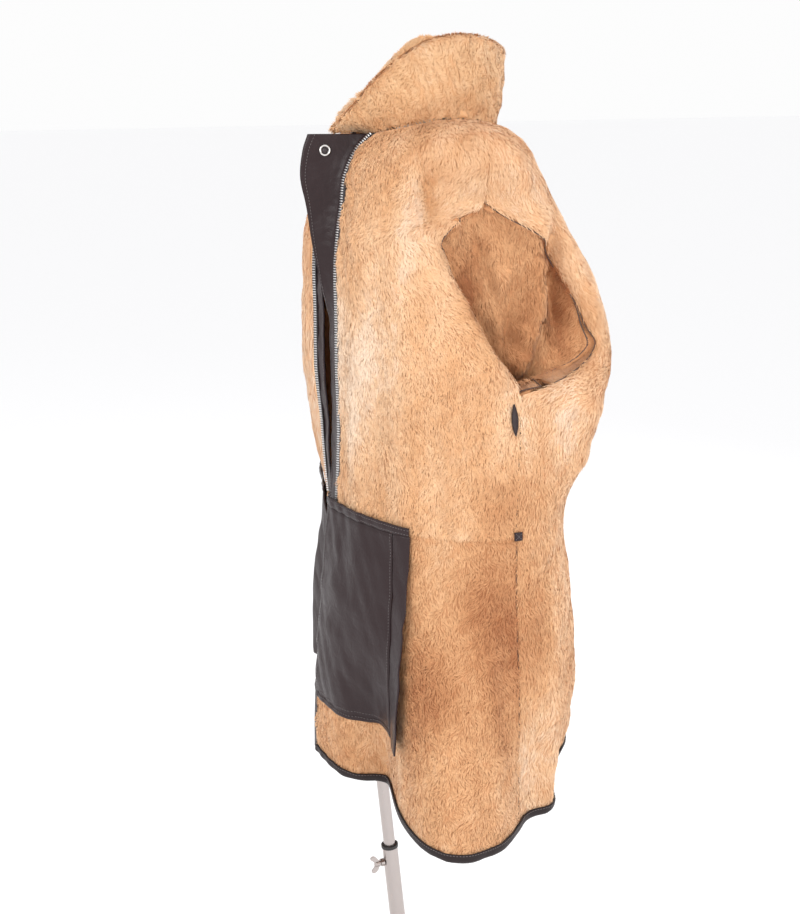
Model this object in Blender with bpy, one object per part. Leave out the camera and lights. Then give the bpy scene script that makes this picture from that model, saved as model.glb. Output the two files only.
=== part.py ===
"""A shearling coat worn inside out on a limbless dress form.

Metres, +Z up, floor at z = 0.  The wearer faces -Y and the wearer's left is +X.
The origin is the centre of the stand's base plate, on the floor.

The coat's body is one continuous surface read from the SECTIONS table: a ring of the
coat for each row, from the neck seam down to the hem.  A place on it is an angle
(-90 centre front, 0 side, +90 centre back) and a level (the row number, which may
lie between two rows).  Every panel, band, pocket and trim is a patch of that surface.
"""
import math

import bmesh
import bpy
import numpy as np

SEAM = 0.0003                # gap between two pieces that meet
SHEARLING = 0.010            # hide with its pile pressed down
SLEEVE_WALL = 0.007
LEATHER = 0.0022
LAYER = 0.0006               # clearance under a piece that lies on a panel

# ---------------------------------------------------------------- the coat's rings
# Heights at the front, side and back of a ring, its half width, the y of its centre,
# how far it reaches in front of and behind that centre, and how square each half is
# (2 is an ellipse, 3 is a box with round corners).
SECTIONS = [
    # name          z_front z_side z_back  half_w  y_mid  front   back  sq_f  sq_b
    ("neck",          1.487, 1.508, 1.493, 0.092, 0.020, 0.106, 0.097, 2.0, 2.0),
    ("neck slope",    1.464, 1.503, 1.476, 0.130, 0.022, 0.128, 0.110, 2.0, 2.1),
    ("shoulder",      1.428, 1.486, 1.445, 0.172, 0.026, 0.148, 0.124, 2.0, 2.1),
    ("shoulder roll", 1.388, 1.448, 1.400, 0.203, 0.032, 0.158, 0.131, 2.1, 2.2),
    ("armhole top",   1.345, 1.388, 1.345, 0.214, 0.036, 0.168, 0.159, 2.2, 2.4),
    ("armhole",       1.295, 1.325, 1.290, 0.224, 0.038, 0.173, 0.195, 2.2, 2.6),
    ("armhole low",   1.235, 1.255, 1.232, 0.240, 0.039, 0.173, 0.214, 2.2, 2.8),
    ("underarm",      1.165, 1.165, 1.165, 0.262, 0.040, 0.174, 0.216, 2.2, 2.9),
    ("chest",         1.070, 1.070, 1.060, 0.266, 0.040, 0.172, 0.190, 2.2, 2.4),
    ("waist",         0.962, 0.960, 0.962, 0.262, 0.040, 0.177, 0.150, 2.2, 2.3),
    ("hip",           0.840, 0.838, 0.840, 0.268, 0.040, 0.188, 0.168, 2.2, 2.3),
    ("thigh",         0.720, 0.715, 0.720, 0.280, 0.040, 0.198, 0.180, 2.2, 2.2),
    ("knee",          0.630, 0.615, 0.630, 0.296, 0.040, 0.203, 0.182, 2.1, 2.1),
    ("hem",           0.572, 0.538, 0.574, 0.306, 0.040, 0.204, 0.176, 2.0, 2.0),
]

# Soft folds: the angle of each one's middle, its half width in degrees, how far it
# stands out (+) or sinks in (-), and the heights between which it grows to full depth
# and between which it dies away again (0 where it runs on to the hem).
FOLDS = [
    # side    angle  half_w   depth   z_none  z_full  z_keep  z_gone
    ("left",     0.0, 20.0,  -0.030,  1.460,  1.390,  1.230,  1.170),
    ("left",   -46.0, 11.0,  -0.058,  0.820,  0.560,  0.0,   -1.0),
    ("left",   -20.0, 13.0,   0.082,  0.900,  0.545,  0.0,   -1.0),
    ("left",     5.0,  7.0,  -0.028,  0.760,  0.560,  0.0,   -1.0),
    ("left",    30.0, 17.0,  -0.042,  0.720,  0.540,  0.0,   -1.0),
    ("left",    60.0, 12.0,   0.008,  0.900,  0.600,  0.0,   -1.0),
    ("left",    26.0,  9.0,   0.016,  1.180,  1.120,  1.060,  0.980),
    ("left",    52.0,  9.0,  -0.010,  1.150,  1.080,  1.020,  0.930),
    ("right",    0.0, 20.0,  -0.028,  1.455,  1.390,  1.230,  1.170),
    ("right",  -62.0, 24.0,   0.014,  1.440,  1.330,  1.160,  1.020),
    ("right",  -52.0, 30.0,  -0.044,  1.060,  0.880,  0.0,   -1.0),
    ("right",  -40.0, 11.0,  -0.020,  0.780,  0.560,  0.0,   -1.0),
    ("right",  -10.0, 14.0,   0.046,  0.880,  0.545,  0.0,   -1.0),
    ("right",   12.0,  6.0,  -0.024,  0.800,  0.560,  0.0,   -1.0),
    ("right",   34.0, 15.0,  -0.016,  0.760,  0.560,  0.0,   -1.0),
    ("right",   64.0, 13.0,   0.012,  0.880,  0.600,  0.0,   -1.0),
    ("right",   30.0, 10.0,   0.012,  1.180,  1.110,  1.050,  0.960),
]

# The armhole: at each level, the angle at which the front and the back panel turn
# inwards, and how far each has turned (0 stays on the surface, 1 is a whole roll).
ARMHOLE = [
    # level  front_edge front_roll back_edge back_roll
    (0.00,     -2.0,      0.00,      14.0,     0.00),
    (3.00,     -4.0,      0.00,      14.0,     0.00),
    (3.70,    -18.0,      0.00,      18.0,     0.00),
    (4.10,    -31.0,      0.60,      27.0,     0.60),
    (4.50,    -29.0,      1.00,      34.0,     1.00),
    (5.20,    -23.0,      1.00,      38.0,     1.00),
    (6.00,    -14.0,      1.00,      42.0,     1.00),
    (6.50,     -8.0,      0.90,      44.0,     1.00),
    (6.80,     -5.0,      0.50,      36.0,     0.90),
    (7.20,     -6.0,      0.00,      12.0,     0.00),
    (7.60,     -6.0,      0.00,       8.0,     0.00),
    (13.0,     -6.0,      0.00,       8.0,     0.00),
]
SIDE_SEAM = 1.0              # degrees behind the widest place
FRONT_STOP = -1.5            # no turning line comes nearer to the side seam than these
BACK_STOP = 6.0
SIDE_GAP = 0.0007
ROLL_REACH = 0.034           # cloth between the turn and the armhole seam
ROLL_TURN = math.radians(96.0)

FRONT_EDGE = {"left": 0.004, "right": 0.010}     # each front's edge from the middle plane
ZIP_LINE = 0.042             # where the fur ends and the leather front band begins


def smooth(value, low, high):
    """0 below low, 1 above high and 3t^2 - 2t^3 between them; low may be the larger."""
    t = np.clip((np.asarray(value, float) - low) / (high - low), 0.0, 1.0)
    return t * t * (3.0 - 2.0 * t)


def curve(knots, values, at):
    """Cubic through the rows of a table, with the slope at each row from its neighbours."""
    knots = np.asarray(knots, float)
    values = np.asarray(values, float)
    slopes = np.gradient(values, knots)
    at = np.clip(np.asarray(at, float), knots[0], knots[-1])
    row = np.clip(np.searchsorted(knots, at, side="right") - 1, 0, len(knots) - 2)
    step = knots[row + 1] - knots[row]
    t = (at - knots[row]) / step
    a = (1 + 2 * t) * (1 - t) ** 2 * values[row]
    b = t * (1 - t) ** 2 * step * slopes[row]
    c = t * t * (3 - 2 * t) * values[row + 1]
    d = t * t * (t - 1) * step * slopes[row + 1]
    return a + b + c + d


def section(column, level):
    """One column of SECTIONS at any level."""
    return curve(np.arange(len(SECTIONS)), [row[column] for row in SECTIONS], level)


def body(side, angle, level):
    """Points of the coat's outer surface, shape (..., 3).

    The ring is the superellipse r = (|cos a / w|^p + |sin a / d|^p)^(-1/p) about its centre,
    with the folds added to r, and its height runs from the side's to the front's or
    back's with sin^2 of the angle.
    """
    angle, level = np.broadcast_arrays(np.asarray(angle, float), np.asarray(level, float))
    a = np.radians(angle)
    behind = smooth(angle, -20.0, 20.0)
    reach = np.where(angle < 0.0, section(6, level), section(7, level))
    power = section(8, level) * (1 - behind) + section(9, level) * behind
    flat_x = np.abs(np.cos(a) / section(4, level)) ** power
    flat_y = np.abs(np.sin(a) / reach) ** power
    r = (flat_x + flat_y) ** (-1.0 / power)
    ends = np.where(angle < 0.0, section(1, level), section(3, level))
    z = section(2, level) + (ends - section(2, level)) * np.sin(a) ** 2
    for where, middle, half_width, depth, z_none, z_full, z_keep, z_gone in FOLDS:
        if where == side:
            grown = smooth(z, z_none, z_full) * (1.0 - smooth(z, z_keep, z_gone))
            r = r + depth * grown * np.exp(-((angle - middle) / half_width) ** 2)
    x = r * np.cos(a) * (1.0 if side == "left" else -1.0)
    return np.stack([x, section(5, level) + r * np.sin(a), z], axis=-1)


def body_normal(side, angle, level):
    """Unit outward normals of the surface, from its slopes along the angle and the level."""
    angle = np.asarray(angle, float)
    level = np.asarray(level, float)
    across = body(side, angle + 0.25, level) - body(side, angle - 0.25, level)
    down = body(side, angle, level + 0.02) - body(side, angle, level - 0.02)
    n = np.cross(down, across) if side == "left" else np.cross(across, down)
    return n / np.linalg.norm(n, axis=-1, keepdims=True)


def angle_at_x(side, x, level):
    """The angle in front at which the surface is x metres from the middle plane."""
    trial = np.linspace(-90.0, -20.0, 141)
    level = np.atleast_1d(np.asarray(level, float))
    spread = np.abs(body(side, trial[None, :], level[:, None])[..., 0])
    return np.array([np.interp(x, row, trial) for row in spread])


def normals(grid, closed=False):
    """Unit normals of a grid of points, by the cross product of its two directions."""
    if closed:
        down = np.gradient(grid, axis=0)
        across = (np.roll(grid, -1, axis=1) - np.roll(grid, 1, axis=1)) / 2.0
    else:
        down = np.gradient(grid, axis=0)
        across = np.gradient(grid, axis=1)
    n = np.cross(across, down)
    return n / np.maximum(np.linalg.norm(n, axis=-1, keepdims=True), 1e-12)


def facing_out(grid, n):
    """The normals, turned over if they point at the coat's upright middle line."""
    middle = np.array([0.0, 0.04, 0.0])
    outward = (grid - middle) * np.array([1.0, 1.0, 0.0])
    return n if np.sum(n * outward) > 0.0 else -n


# ---------------------------------------------------------------- making objects
def material(name, colour, roughness, metallic=0.0):
    """A Principled material of one colour."""
    mat = bpy.data.materials.new(name)
    mat.use_nodes = True
    shader = mat.node_tree.nodes["Principled BSDF"]
    shader.inputs["Base Color"].default_value = (*colour, 1.0)
    shader.inputs["Roughness"].default_value = roughness
    shader.inputs["Metallic"].default_value = metallic
    mat.diffuse_color = (*colour, 1.0)
    return mat


def add_object(name, mesh, mat, parent=None):
    """Put a finished mesh into the scene as one named part."""
    mesh.materials.append(mat)
    mesh.shade_smooth()
    mesh.set_sharp_from_angle(angle=math.radians(40.0))
    part = bpy.data.objects.new(name, mesh)
    bpy.context.scene.collection.objects.link(part)
    if parent is not None:
        part.parent = parent
        part.matrix_parent_inverse = parent.matrix_world.inverted()
    return part


def wall(name, outer, inner, mat, parent=None, closed=False):
    """A closed sheet from two matching grids, its face and its back, joined by its edges."""
    rows, cols = outer.shape[:2]
    points = np.concatenate([outer.reshape(-1, 3), inner.reshape(-1, 3)])
    index = np.arange(rows * cols).reshape(rows, cols)
    back = index + rows * cols
    if closed:
        index = np.concatenate([index, index[:, :1]], axis=1)
        back = np.concatenate([back, back[:, :1]], axis=1)

    def quads(a, b, c, d):
        return np.stack([a.ravel(), b.ravel(), c.ravel(), d.ravel()], axis=1)

    faces = [quads(index[:-1, :-1], index[:-1, 1:], index[1:, 1:], index[1:, :-1]),
             quads(back[:-1, :-1], back[1:, :-1], back[1:, 1:], back[:-1, 1:]),
             quads(index[0, :-1], back[0, :-1], back[0, 1:], index[0, 1:]),
             quads(index[-1, :-1], index[-1, 1:], back[-1, 1:], back[-1, :-1])]
    if not closed:
        faces.append(quads(index[:-1, 0], index[1:, 0], back[1:, 0], back[:-1, 0]))
        faces.append(quads(index[:-1, -1], back[:-1, -1], back[1:, -1], index[1:, -1]))
    mesh = bpy.data.meshes.new(name)
    mesh.from_pydata(points.tolist(), [], np.concatenate(faces).tolist())
    tidy_normals(mesh)
    return add_object(name, mesh, mat, parent)


def tidy_normals(mesh):
    """Turn every face of a closed mesh outwards."""
    bm = bmesh.new()
    bm.from_mesh(mesh)
    bmesh.ops.recalc_face_normals(bm, faces=bm.faces)
    bm.to_mesh(mesh)
    bm.free()


def loft(name, rings, mat, parent=None):
    """A solid through a list of closed rings of equal length, with flat ends."""
    rings = np.asarray(rings)
    count, sides = rings.shape[:2]
    faces = []
    for ring in range(count - 1):
        for k in range(sides):
            a = ring * sides + k
            b = ring * sides + (k + 1) % sides
            faces.append((a, b, b + sides, a + sides))
    faces.append(tuple(range(sides)))
    faces.append(tuple(range((count - 1) * sides, count * sides)))
    mesh = bpy.data.meshes.new(name)
    mesh.from_pydata(rings.reshape(-1, 3).tolist(), [], faces)
    tidy_normals(mesh)
    return add_object(name, mesh, mat, parent)


def frame_along(axis):
    """Two unit directions square to an axis."""
    axis = np.asarray(axis, float) / np.linalg.norm(axis)
    helper = np.array([1.0, 0.0, 0.0]) if abs(axis[0]) < 0.8 else np.array([0.0, 1.0, 0.0])
    first = np.cross(axis, helper)
    first /= np.linalg.norm(first)
    return first, np.cross(axis, first)


def turned(name, origin, axis, profile, mat, parent=None, sides=24):
    """A turned solid: rows of (distance along the axis, radius), joined in a closed loop if hollow."""
    first, second = frame_along(axis)
    axis = np.asarray(axis, float) / np.linalg.norm(axis)
    turn = np.arange(sides) / sides * 2 * math.pi
    circle = np.cos(turn)[:, None] * first + np.sin(turn)[:, None] * second
    rings = [np.asarray(origin) + axis * along + circle * radius for along, radius in profile]
    return loft(name, rings, mat, parent)


def tube(name, origin, axis, start, end, radius, bore, mat, parent=None, sides=24):
    """A straight hollow tube between two distances along an axis."""
    first, second = frame_along(axis)
    axis = np.asarray(axis, float) / np.linalg.norm(axis)
    turn = np.arange(sides) / sides * 2 * math.pi
    circle = np.cos(turn)[:, None] * first + np.sin(turn)[:, None] * second
    ends = np.array([start, end])[:, None, None]
    outer = np.asarray(origin) + axis * ends + circle * radius
    inner = np.asarray(origin) + axis * ends + circle * bore
    return wall(name, outer, inner, mat, parent, closed=True)


# ---------------------------------------------------------------- the coat's panels
UPPER_LEVELS = [0.0, 0.5, 1.0, 1.5, 2.0, 2.5, 3.0, 3.5, 3.9, 4.2, 4.6, 5.0, 5.5, 6.0,
                6.4, 6.7, 6.95, 7.2, 7.6, 8.0, 8.5, 9.0]
LOWER_LEVELS = [9.0, 9.5, 10.0, 10.5, 11.0, 11.5, 12.0, 12.5, 13.0]
ARM_TOP = 3.9
ARM_FOOT = 7.2
LEVEL_HEIGHT = 0.12          # metres from one level to the next about the waist


def along_levels(levels, gap_top=0.0, gap_foot=0.0):
    """A column of levels with the first and last drawn in by a gap, given in levels."""
    column = np.array(levels, float)
    column[0] += gap_top
    column[-1] -= gap_foot
    return column


def half_panel(side, half, levels, start_angles, cols, roll_cols=4, rolled=True):
    """One half of the coat, from its middle edge to its side edge, with the armhole's roll.

    Columns run over the surface to the turn, then ROLL_REACH further: on the surface
    where the coat is closed, and round an arc of ROLL_TURN where the armhole opens.
    """
    sign = 1.0 if half == "front" else -1.0
    edge_column, roll_column = (1, 2) if half == "front" else (3, 4)
    knots = [row[0] for row in ARMHOLE]
    edge = curve(knots, [row[edge_column] for row in ARMHOLE], levels)
    edge = np.minimum(edge, FRONT_STOP) if half == "front" else np.maximum(edge, BACK_STOP)
    roll = np.clip(curve(knots, [row[roll_column] for row in ARMHOLE], levels), 0.0, 1.0)
    inside = (levels > ARM_TOP) & (levels < ARM_FOOT)
    roll = np.where(inside, roll, 0.0) if rolled else np.zeros_like(roll)
    share = np.linspace(0.0, 1.0, cols)
    angles = start_angles[:, None] + (edge - start_angles)[:, None] * share
    flat = body(side, angles, levels[:, None])

    flat_n = body_normal(side, angles, levels[:, None])

    turn_at = body(side, edge, levels)
    outward = body_normal(side, edge, levels)
    tangent = body(side, edge + sign * 0.5, levels) - turn_at
    tangent -= outward * np.sum(tangent * outward, axis=1, keepdims=True)
    tangent /= np.linalg.norm(tangent, axis=1, keepdims=True)
    radius = ROLL_REACH / ROLL_TURN
    seam_angle = SIDE_SEAM - sign * np.degrees(SIDE_GAP / 2 / section(4, levels))
    points = [flat]
    directions = [flat_n]
    for step in np.linspace(0.0, 1.0, roll_cols + 1)[1:]:
        turned_by = step * ROLL_TURN
        arc = (turn_at + radius * math.sin(turned_by) * tangent
               - radius * (1.0 - math.cos(turned_by)) * outward)
        arc_n = math.cos(turned_by) * outward + math.sin(turned_by) * tangent
        straight_angle = edge + (seam_angle - edge) * step
        straight = body(side, straight_angle, levels)
        straight_n = body_normal(side, straight_angle, levels)
        n = straight_n + (arc_n - straight_n) * roll[:, None]
        points.append((straight + (arc - straight) * roll[:, None])[:, None])
        directions.append((n / np.linalg.norm(n, axis=1, keepdims=True))[:, None])
    return np.concatenate(points, axis=1), np.concatenate(directions, axis=1), roll


def sheet_pair(grid, thickness, lift=0.0, closed=False):
    """The face and the back of a sheet on a grid of points."""
    n = facing_out(grid, normals(grid, closed))
    return grid + n * lift, grid + n * (lift - thickness)


def zip_line_angles(side, levels, x=ZIP_LINE):
    return angle_at_x(side, x + SEAM, levels)


def turned_share(roll):
    """The border's roll, written three times over so that it joins up like the borders."""
    return np.repeat(roll[:, None], 3, axis=1)


def build_fronts(side, fur, parent):
    """The bodice front and the skirt front of one side; returns the armhole's border."""
    levels = along_levels(UPPER_LEVELS, gap_foot=SEAM / LEVEL_HEIGHT)
    outer, n, roll = half_panel(side, "front", levels, zip_line_angles(side, levels), 9)
    inner = outer - n * SHEARLING
    wall(f"front_upper_{side}", outer, inner, fur, parent)
    in_arm = (levels >= ARM_TOP - 1e-6) & (levels <= ARM_FOOT + 1e-6)
    border = (outer[in_arm, -1], inner[in_arm, -1], outer[in_arm, -2], turned_share(roll[in_arm]))

    levels = along_levels(LOWER_LEVELS)
    start = zip_line_angles(side, levels, FRONT_EDGE[side] + EDGE_BAND[side])
    outer, n, _ = half_panel(side, "front", levels, start, 15, roll_cols=2, rolled=False)
    wall(f"front_skirt_{side}", outer, outer - n * SHEARLING, fur, parent)
    return border, (outer[-1], outer[-2], n[-1], n[-2])


def build_back(fur, parent):
    """The whole back in one piece; returns the two armholes' borders."""
    levels = along_levels(UPPER_LEVELS[:-1] + LOWER_LEVELS)
    start = np.full(len(levels), 90.0)
    left, left_n, roll = half_panel("left", "back", levels, start, 9)
    right, right_n, _ = half_panel("right", "back", levels, start, 9)
    outer = np.concatenate([left[:, ::-1], right[:, 1:]], axis=1)
    n = np.concatenate([left_n[:, ::-1], right_n[:, 1:]], axis=1)
    inner = outer - SHEARLING * n
    wall("back", outer, inner, fur, parent)
    in_arm = (levels >= ARM_TOP - 1e-6) & (levels <= ARM_FOOT + 1e-6)
    rolled = turned_share(roll[in_arm])
    borders = {"left": (outer[in_arm, 0], inner[in_arm, 0], outer[in_arm, 1], rolled),
               "right": (outer[in_arm, -1], inner[in_arm, -1], outer[in_arm, -2], rolled)}
    return borders, tuple(rows[row, 1:-1] for rows in (outer, n) for row in (-1, -2))


# The sleeve hangs down inside the coat.  Each row is one ring: how far it has settled
# from the armhole's outline (0) to a flattened level ring (1) across, along and down the
# body, inwards first so that it clears the rolled edge, then that ring's centre and sizes.
SLEEVE = [
    # across  along  down   x_mid   y_mid   z_mid  half_x half_y
    (0.30,    0.02,  0.00,  0.168,  0.040,  1.200, 0.012, 0.050),
    (0.55,    0.12,  0.12,  0.171,  0.040,  1.180, 0.018, 0.050),
    (0.78,    0.42,  0.36,  0.178,  0.038,  1.150, 0.022, 0.052),
    (0.93,    0.76,  0.68,  0.188,  0.034,  1.110, 0.023, 0.054),
    (1.00,    1.00,  1.00,  0.197,  0.030,  1.050, 0.023, 0.054),
    (1.00,    1.00,  1.00,  0.203,  0.028,  0.960, 0.022, 0.054),
    (1.00,    1.00,  1.00,  0.206,  0.030,  0.850, 0.022, 0.052),
    (1.00,    1.00,  1.00,  0.210,  0.030,  0.740, 0.021, 0.050),
]
SLEEVE_SEAM = 0.0020         # the sleeve's first ring starts this far past the border

# The gusset under the arm: how many rings it reaches into the sleeve from the back's
# border, from its point (high on the armhole) to its wide foot.
GUSSET = [
    # level  rings
    (5.5,     0.20),
    (6.0,     0.90),
    (6.4,     1.60),
    (6.7,     2.20),
    (6.95,    2.50),
]


def along_rings(rings, place):
    """Points part-way along the sleeve: place counts rings, one value for each column."""
    low = np.clip(np.floor(place).astype(int), 0, len(rings) - 2)
    column = np.arange(rings.shape[1])[None, :]
    share = (place - low)[..., None]
    return rings[low, column] * (1.0 - share) + rings[low + 1, column] * share


def build_sleeve(side, front_border, back_border, fur, parent):
    """A sleeve pulled to the inside, from the armhole's border down to its open cuff.

    Ring k is the armhole's border moved towards a flattened ring by the shares in its
    row.  The gusset takes the first stretch of the rings behind the underarm.
    """
    mirror = np.array([1.0 if side == "left" else -1.0, 1.0, 1.0])
    outline = [np.concatenate([front, back[-2:0:-1]]) * mirror
               for front, back in zip(front_border, back_border)]
    seam_out, seam_in, before = outline[:3]
    turned_in = smooth(outline[3][:, 1], 0.1, 0.8)
    onward = seam_out - before
    onward /= np.linalg.norm(onward, axis=1, keepdims=True)
    count = len(seam_out)
    front_count = len(front_border[0])
    turn = np.concatenate([np.linspace(0.0, math.pi, front_count),
                           np.linspace(math.pi, 2 * math.pi, count - front_count + 2)[1:-1]])
    border_n = (seam_out - seam_in) / SHEARLING
    beyond = onward * SLEEVE_SEAM
    behind = -border_n * (SHEARLING + SLEEVE_SEAM)
    rings = [seam_out + behind + (beyond - behind) * turned_in[:, None]]
    for across, along, down, x_mid, y_mid, z_mid, half_x, half_y in SLEEVE:
        ring = np.stack([x_mid - half_x * np.cos(turn), y_mid - half_y * np.sin(turn),
                         np.full(count, z_mid)], axis=1)
        rings.append(rings[0] + (ring - rings[0]) * np.array([across, along, down]))
    outer = np.stack(rings)
    n = normals(outer, closed=True)
    toward = np.mean(outer, axis=1, keepdims=True) - outer
    if np.sum(n[3:] * toward[3:]) < 0.0:
        n = -n
    inner = outer - n * SLEEVE_WALL
    inner[0] = outer[0] - border_n * SLEEVE_WALL

    arm_levels = np.array([level for level in UPPER_LEVELS if ARM_TOP <= level <= ARM_FOOT])
    column_level = np.concatenate([np.zeros(front_count), arm_levels[-2:0:-1]])
    knots = [row[0] for row in GUSSET]
    reach = np.interp(column_level, knots, [row[1] for row in GUSSET], left=0.0, right=0.0)
    in_gusset = np.flatnonzero((column_level >= knots[0]) & (column_level <= knots[-1]))
    seam_share = 0.03
    steps = np.arange(len(outer))[:, None] / (len(outer) - 1.0)
    first = np.where(reach > 0.0, reach + seam_share, 0.0)[None, :]
    place = first + (len(outer) - 1.0 - first) * steps
    wall(f"sleeve_{side}", along_rings(outer, place) * mirror, along_rings(inner, place) * mirror,
         fur, parent, closed=True)
    place = reach[None, :] * np.linspace(0.0, 1.0, 4)[:, None]
    gusset_out = along_rings(outer, place)[:, in_gusset] * mirror
    gusset_in = along_rings(inner, place)[:, in_gusset] * mirror
    wall(f"gusset_{side}", gusset_out, gusset_in, fur, parent)


# ---------------------------------------------------------------- the collar
# The collar's foot follows the neck seam.  Each row is a place along it: the angle, how
# high its top stands over its foot, how far the top leans out, and its thickness.
COLLAR = [
    # angle   rise    lean   thick
    (-86.0,   0.012,  0.034, 0.014),
    (-70.0,   0.048,  0.026, 0.017),
    (-50.0,   0.082,  0.020, 0.020),
    (-30.0,   0.101,  0.013, 0.021),
    (0.0,     0.109,  0.010, 0.021),
    (50.0,    0.108,  0.011, 0.021),
    (90.0,    0.102,  0.013, 0.021),
]
FAR_COLLAR_DROP = 0.62       # how much lower the right front end lies, as a share
COLLAR_RISE = 0.004


def build_collar(fur, parent):
    """A standing collar: one closed outline carried round the neck seam."""
    knots = [row[0] for row in COLLAR]
    left = np.linspace(COLLAR[0][0], 90.0, 15)
    angles = np.concatenate([left, left[-2::-1]])
    sides = ["left"] * len(left) + ["right"] * (len(left) - 1)
    rings = []
    for angle, side in zip(angles, sides):
        rise, lean, thick = (float(curve(knots, [row[k] for row in COLLAR], angle))
                             for k in (1, 2, 3))
        if side == "right":
            rise *= 1.0 - FAR_COLLAR_DROP * float(smooth(-angle, -25.0, 50.0))
        foot = body(side, angle, 0.0) + np.array([0.0, 0.0, COLLAR_RISE])
        out = foot * np.array([1.0, 1.0, 0.0]) - np.array([0.0, 0.02, 0.0])
        out /= np.linalg.norm(out)
        up = np.array([0.0, 0.0, 1.0])
        half = thick / 2.0
        straight = rise - half
        profile = [foot, foot + out * (lean * 0.35 + 0.004) + up * straight * 0.35,
                   foot + out * (lean * 0.75 + 0.002) + up * straight * 0.75]
        middle = foot + out * (lean - half) + up * straight
        for turn in np.radians([0.0, 45.0, 90.0, 135.0, 180.0]):
            profile.append(middle + out * half * math.cos(turn) + up * half * math.sin(turn))
        profile.append(foot - out * (thick - lean * 0.4) + up * straight * 0.4)
        profile.append(foot - out * thick)
        rings.append(profile)
    loft("collar", rings, fur, parent)


# ---------------------------------------------------------------- leather, zip and trims
EDGE_BAND = {"left": 0.010, "right": 0.016}      # leather band on each skirt front's edge
ZIP_TAPE = 0.014
FLAP_FOLD = 0.024            # the front band's upper corner turns outwards from this line
FLAP_REACH = 0.074
FLAP_LEVELS = 6.2
WAIST_GAP = 0.006            # in levels: 0.7 mm between the bodice's and the skirt's bands
BAND_DEPTH = 0.003           # the leather lies below the tips of the pile
BAND_WALL = 0.006            # the folded skirt edge: two leathers and the hide between
TAPE = 0.0016


def band_grid(side, levels, x_from, x_to, cols, flap=True):
    """A strip of the front between two distances from the middle plane, with its normals.

    The upper corner of the left strip is turned outwards: its points move forward with
    their distance past the fold line, less and less down to FLAP_LEVELS.
    """
    x = np.linspace(x_from, x_to, cols)
    angle = np.stack([angle_at_x(side, place, levels) for place in x], axis=1)
    grid = body(side, angle, levels[:, None])
    n = body_normal(side, angle, levels[:, None])
    if flap and side == "left":
        past = np.clip((FLAP_FOLD - x) / (FLAP_FOLD - FRONT_EDGE["left"]), 0.0, 1.0)
        reach = FLAP_REACH * np.clip(1.0 - levels / FLAP_LEVELS, 0.0, 1.0)
        grid[..., 1] -= reach[:, None] * past
        bent = normals(grid)
        bent *= np.sign(np.sum(bent * n, axis=-1, keepdims=True))
        share = smooth(reach[:, None] * (past > 0.0), 0.0, 0.01)[..., None]
        n = n + (bent - n) * share
        n /= np.linalg.norm(n, axis=-1, keepdims=True)
    return grid, n


def lay(name, grid, n, lift, thickness, mat, parent):
    """A sheet whose back lies lift above a grid of surface points."""
    wall(name, grid + n * (lift + thickness), grid + n * lift, mat, parent)


def build_front_bands(side, leather, parent):
    """The leather band down the bodice front, the zip's tape on it, the skirt's edge band."""
    levels = along_levels([0.0, 0.5, 1.0, 1.5, 2.0, 2.5, 3.0, 3.5, 4.0, 4.5, 5.0, 5.5, 6.0,
                           6.5, 7.0, 7.5, 8.0, 8.5, 9.0], gap_foot=WAIST_GAP)
    grid, n = band_grid(side, levels, ZIP_LINE - SEAM, FRONT_EDGE[side], 7)
    lay(f"front_band_{side}", grid, n, -BAND_DEPTH - LEATHER, LEATHER, leather, parent)
    grid, n = band_grid(side, levels, ZIP_LINE - SEAM, ZIP_LINE - ZIP_TAPE, 3, flap=False)
    lay(f"zip_tape_{side}", grid, n, -BAND_DEPTH + LAYER, TAPE, leather, parent)
    levels = along_levels(LOWER_LEVELS)
    inner_x = FRONT_EDGE[side] + EDGE_BAND[side] - SEAM
    grid, n = band_grid(side, levels, inner_x, FRONT_EDGE[side], 3)
    lay(f"edge_band_{side}", grid, n, -BAND_WALL, BAND_WALL, leather, parent)


# Each pocket: the levels it spans, how far its inner edge is from the middle plane, and
# the angles of its stitched outer edge and of the free strip beyond it.
POCKET = {"left": (8.93, 11.62, 0.016, -38.5, -32.5), "right": (8.93, 11.70, 0.040, -40.0, -34.0)}
POCKET_LIFT = 0.0034
FREE_STRIP_DROP = 0.03       # levels the free strip hangs below the pocket
FREE_STRIP_LIFT = 0.012
WELT_LEVELS = 0.11           # height of the stitched band along the pocket's mouth


def build_pocket(side, leather, parent):
    """A leather pocket on the fur side: its bag, the stitched band on top, the free strip."""
    top, foot, inner_x, seam_angle, free_angle = POCKET[side]
    levels = np.linspace(top + WELT_LEVELS, foot, 10)
    start = angle_at_x(side, inner_x, levels)
    share = np.linspace(0.0, 1.0, 9)
    angles = start[:, None] + (seam_angle - start)[:, None] * share
    grid = body(side, angles, levels[:, None])
    wall(f"pocket_{side}", *sheet_pair(grid, LEATHER, lift=POCKET_LIFT + LEATHER), leather, parent)

    levels = np.linspace(top, top + WELT_LEVELS - 2.0 * SEAM / LEVEL_HEIGHT, 3)
    start = angle_at_x(side, inner_x, levels)
    angles = start[:, None] + (free_angle - start)[:, None] * np.linspace(0.0, 1.0, 12)
    grid = body(side, angles, levels[:, None])
    wall(f"pocket_mouth_{side}", *sheet_pair(grid, LEATHER, lift=POCKET_LIFT + LEATHER), leather, parent)

    levels = np.linspace(top + WELT_LEVELS, foot + FREE_STRIP_DROP, 12)
    share = np.linspace(0.0, 1.0, 4)
    angles = seam_angle + 0.3 + (free_angle - seam_angle) * share[None, :] + 0.0 * levels[:, None]
    grid = body(side, angles, levels[:, None])
    n = facing_out(grid, normals(grid))
    lifted = share[None, :, None] * smooth(levels, top, top + 1.5)[:, None, None]
    outer = grid + n * (POCKET_LIFT + LEATHER + FREE_STRIP_LIFT * lifted)
    wall(f"pocket_strip_{side}", outer, outer - n * LEATHER, leather, parent)


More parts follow.
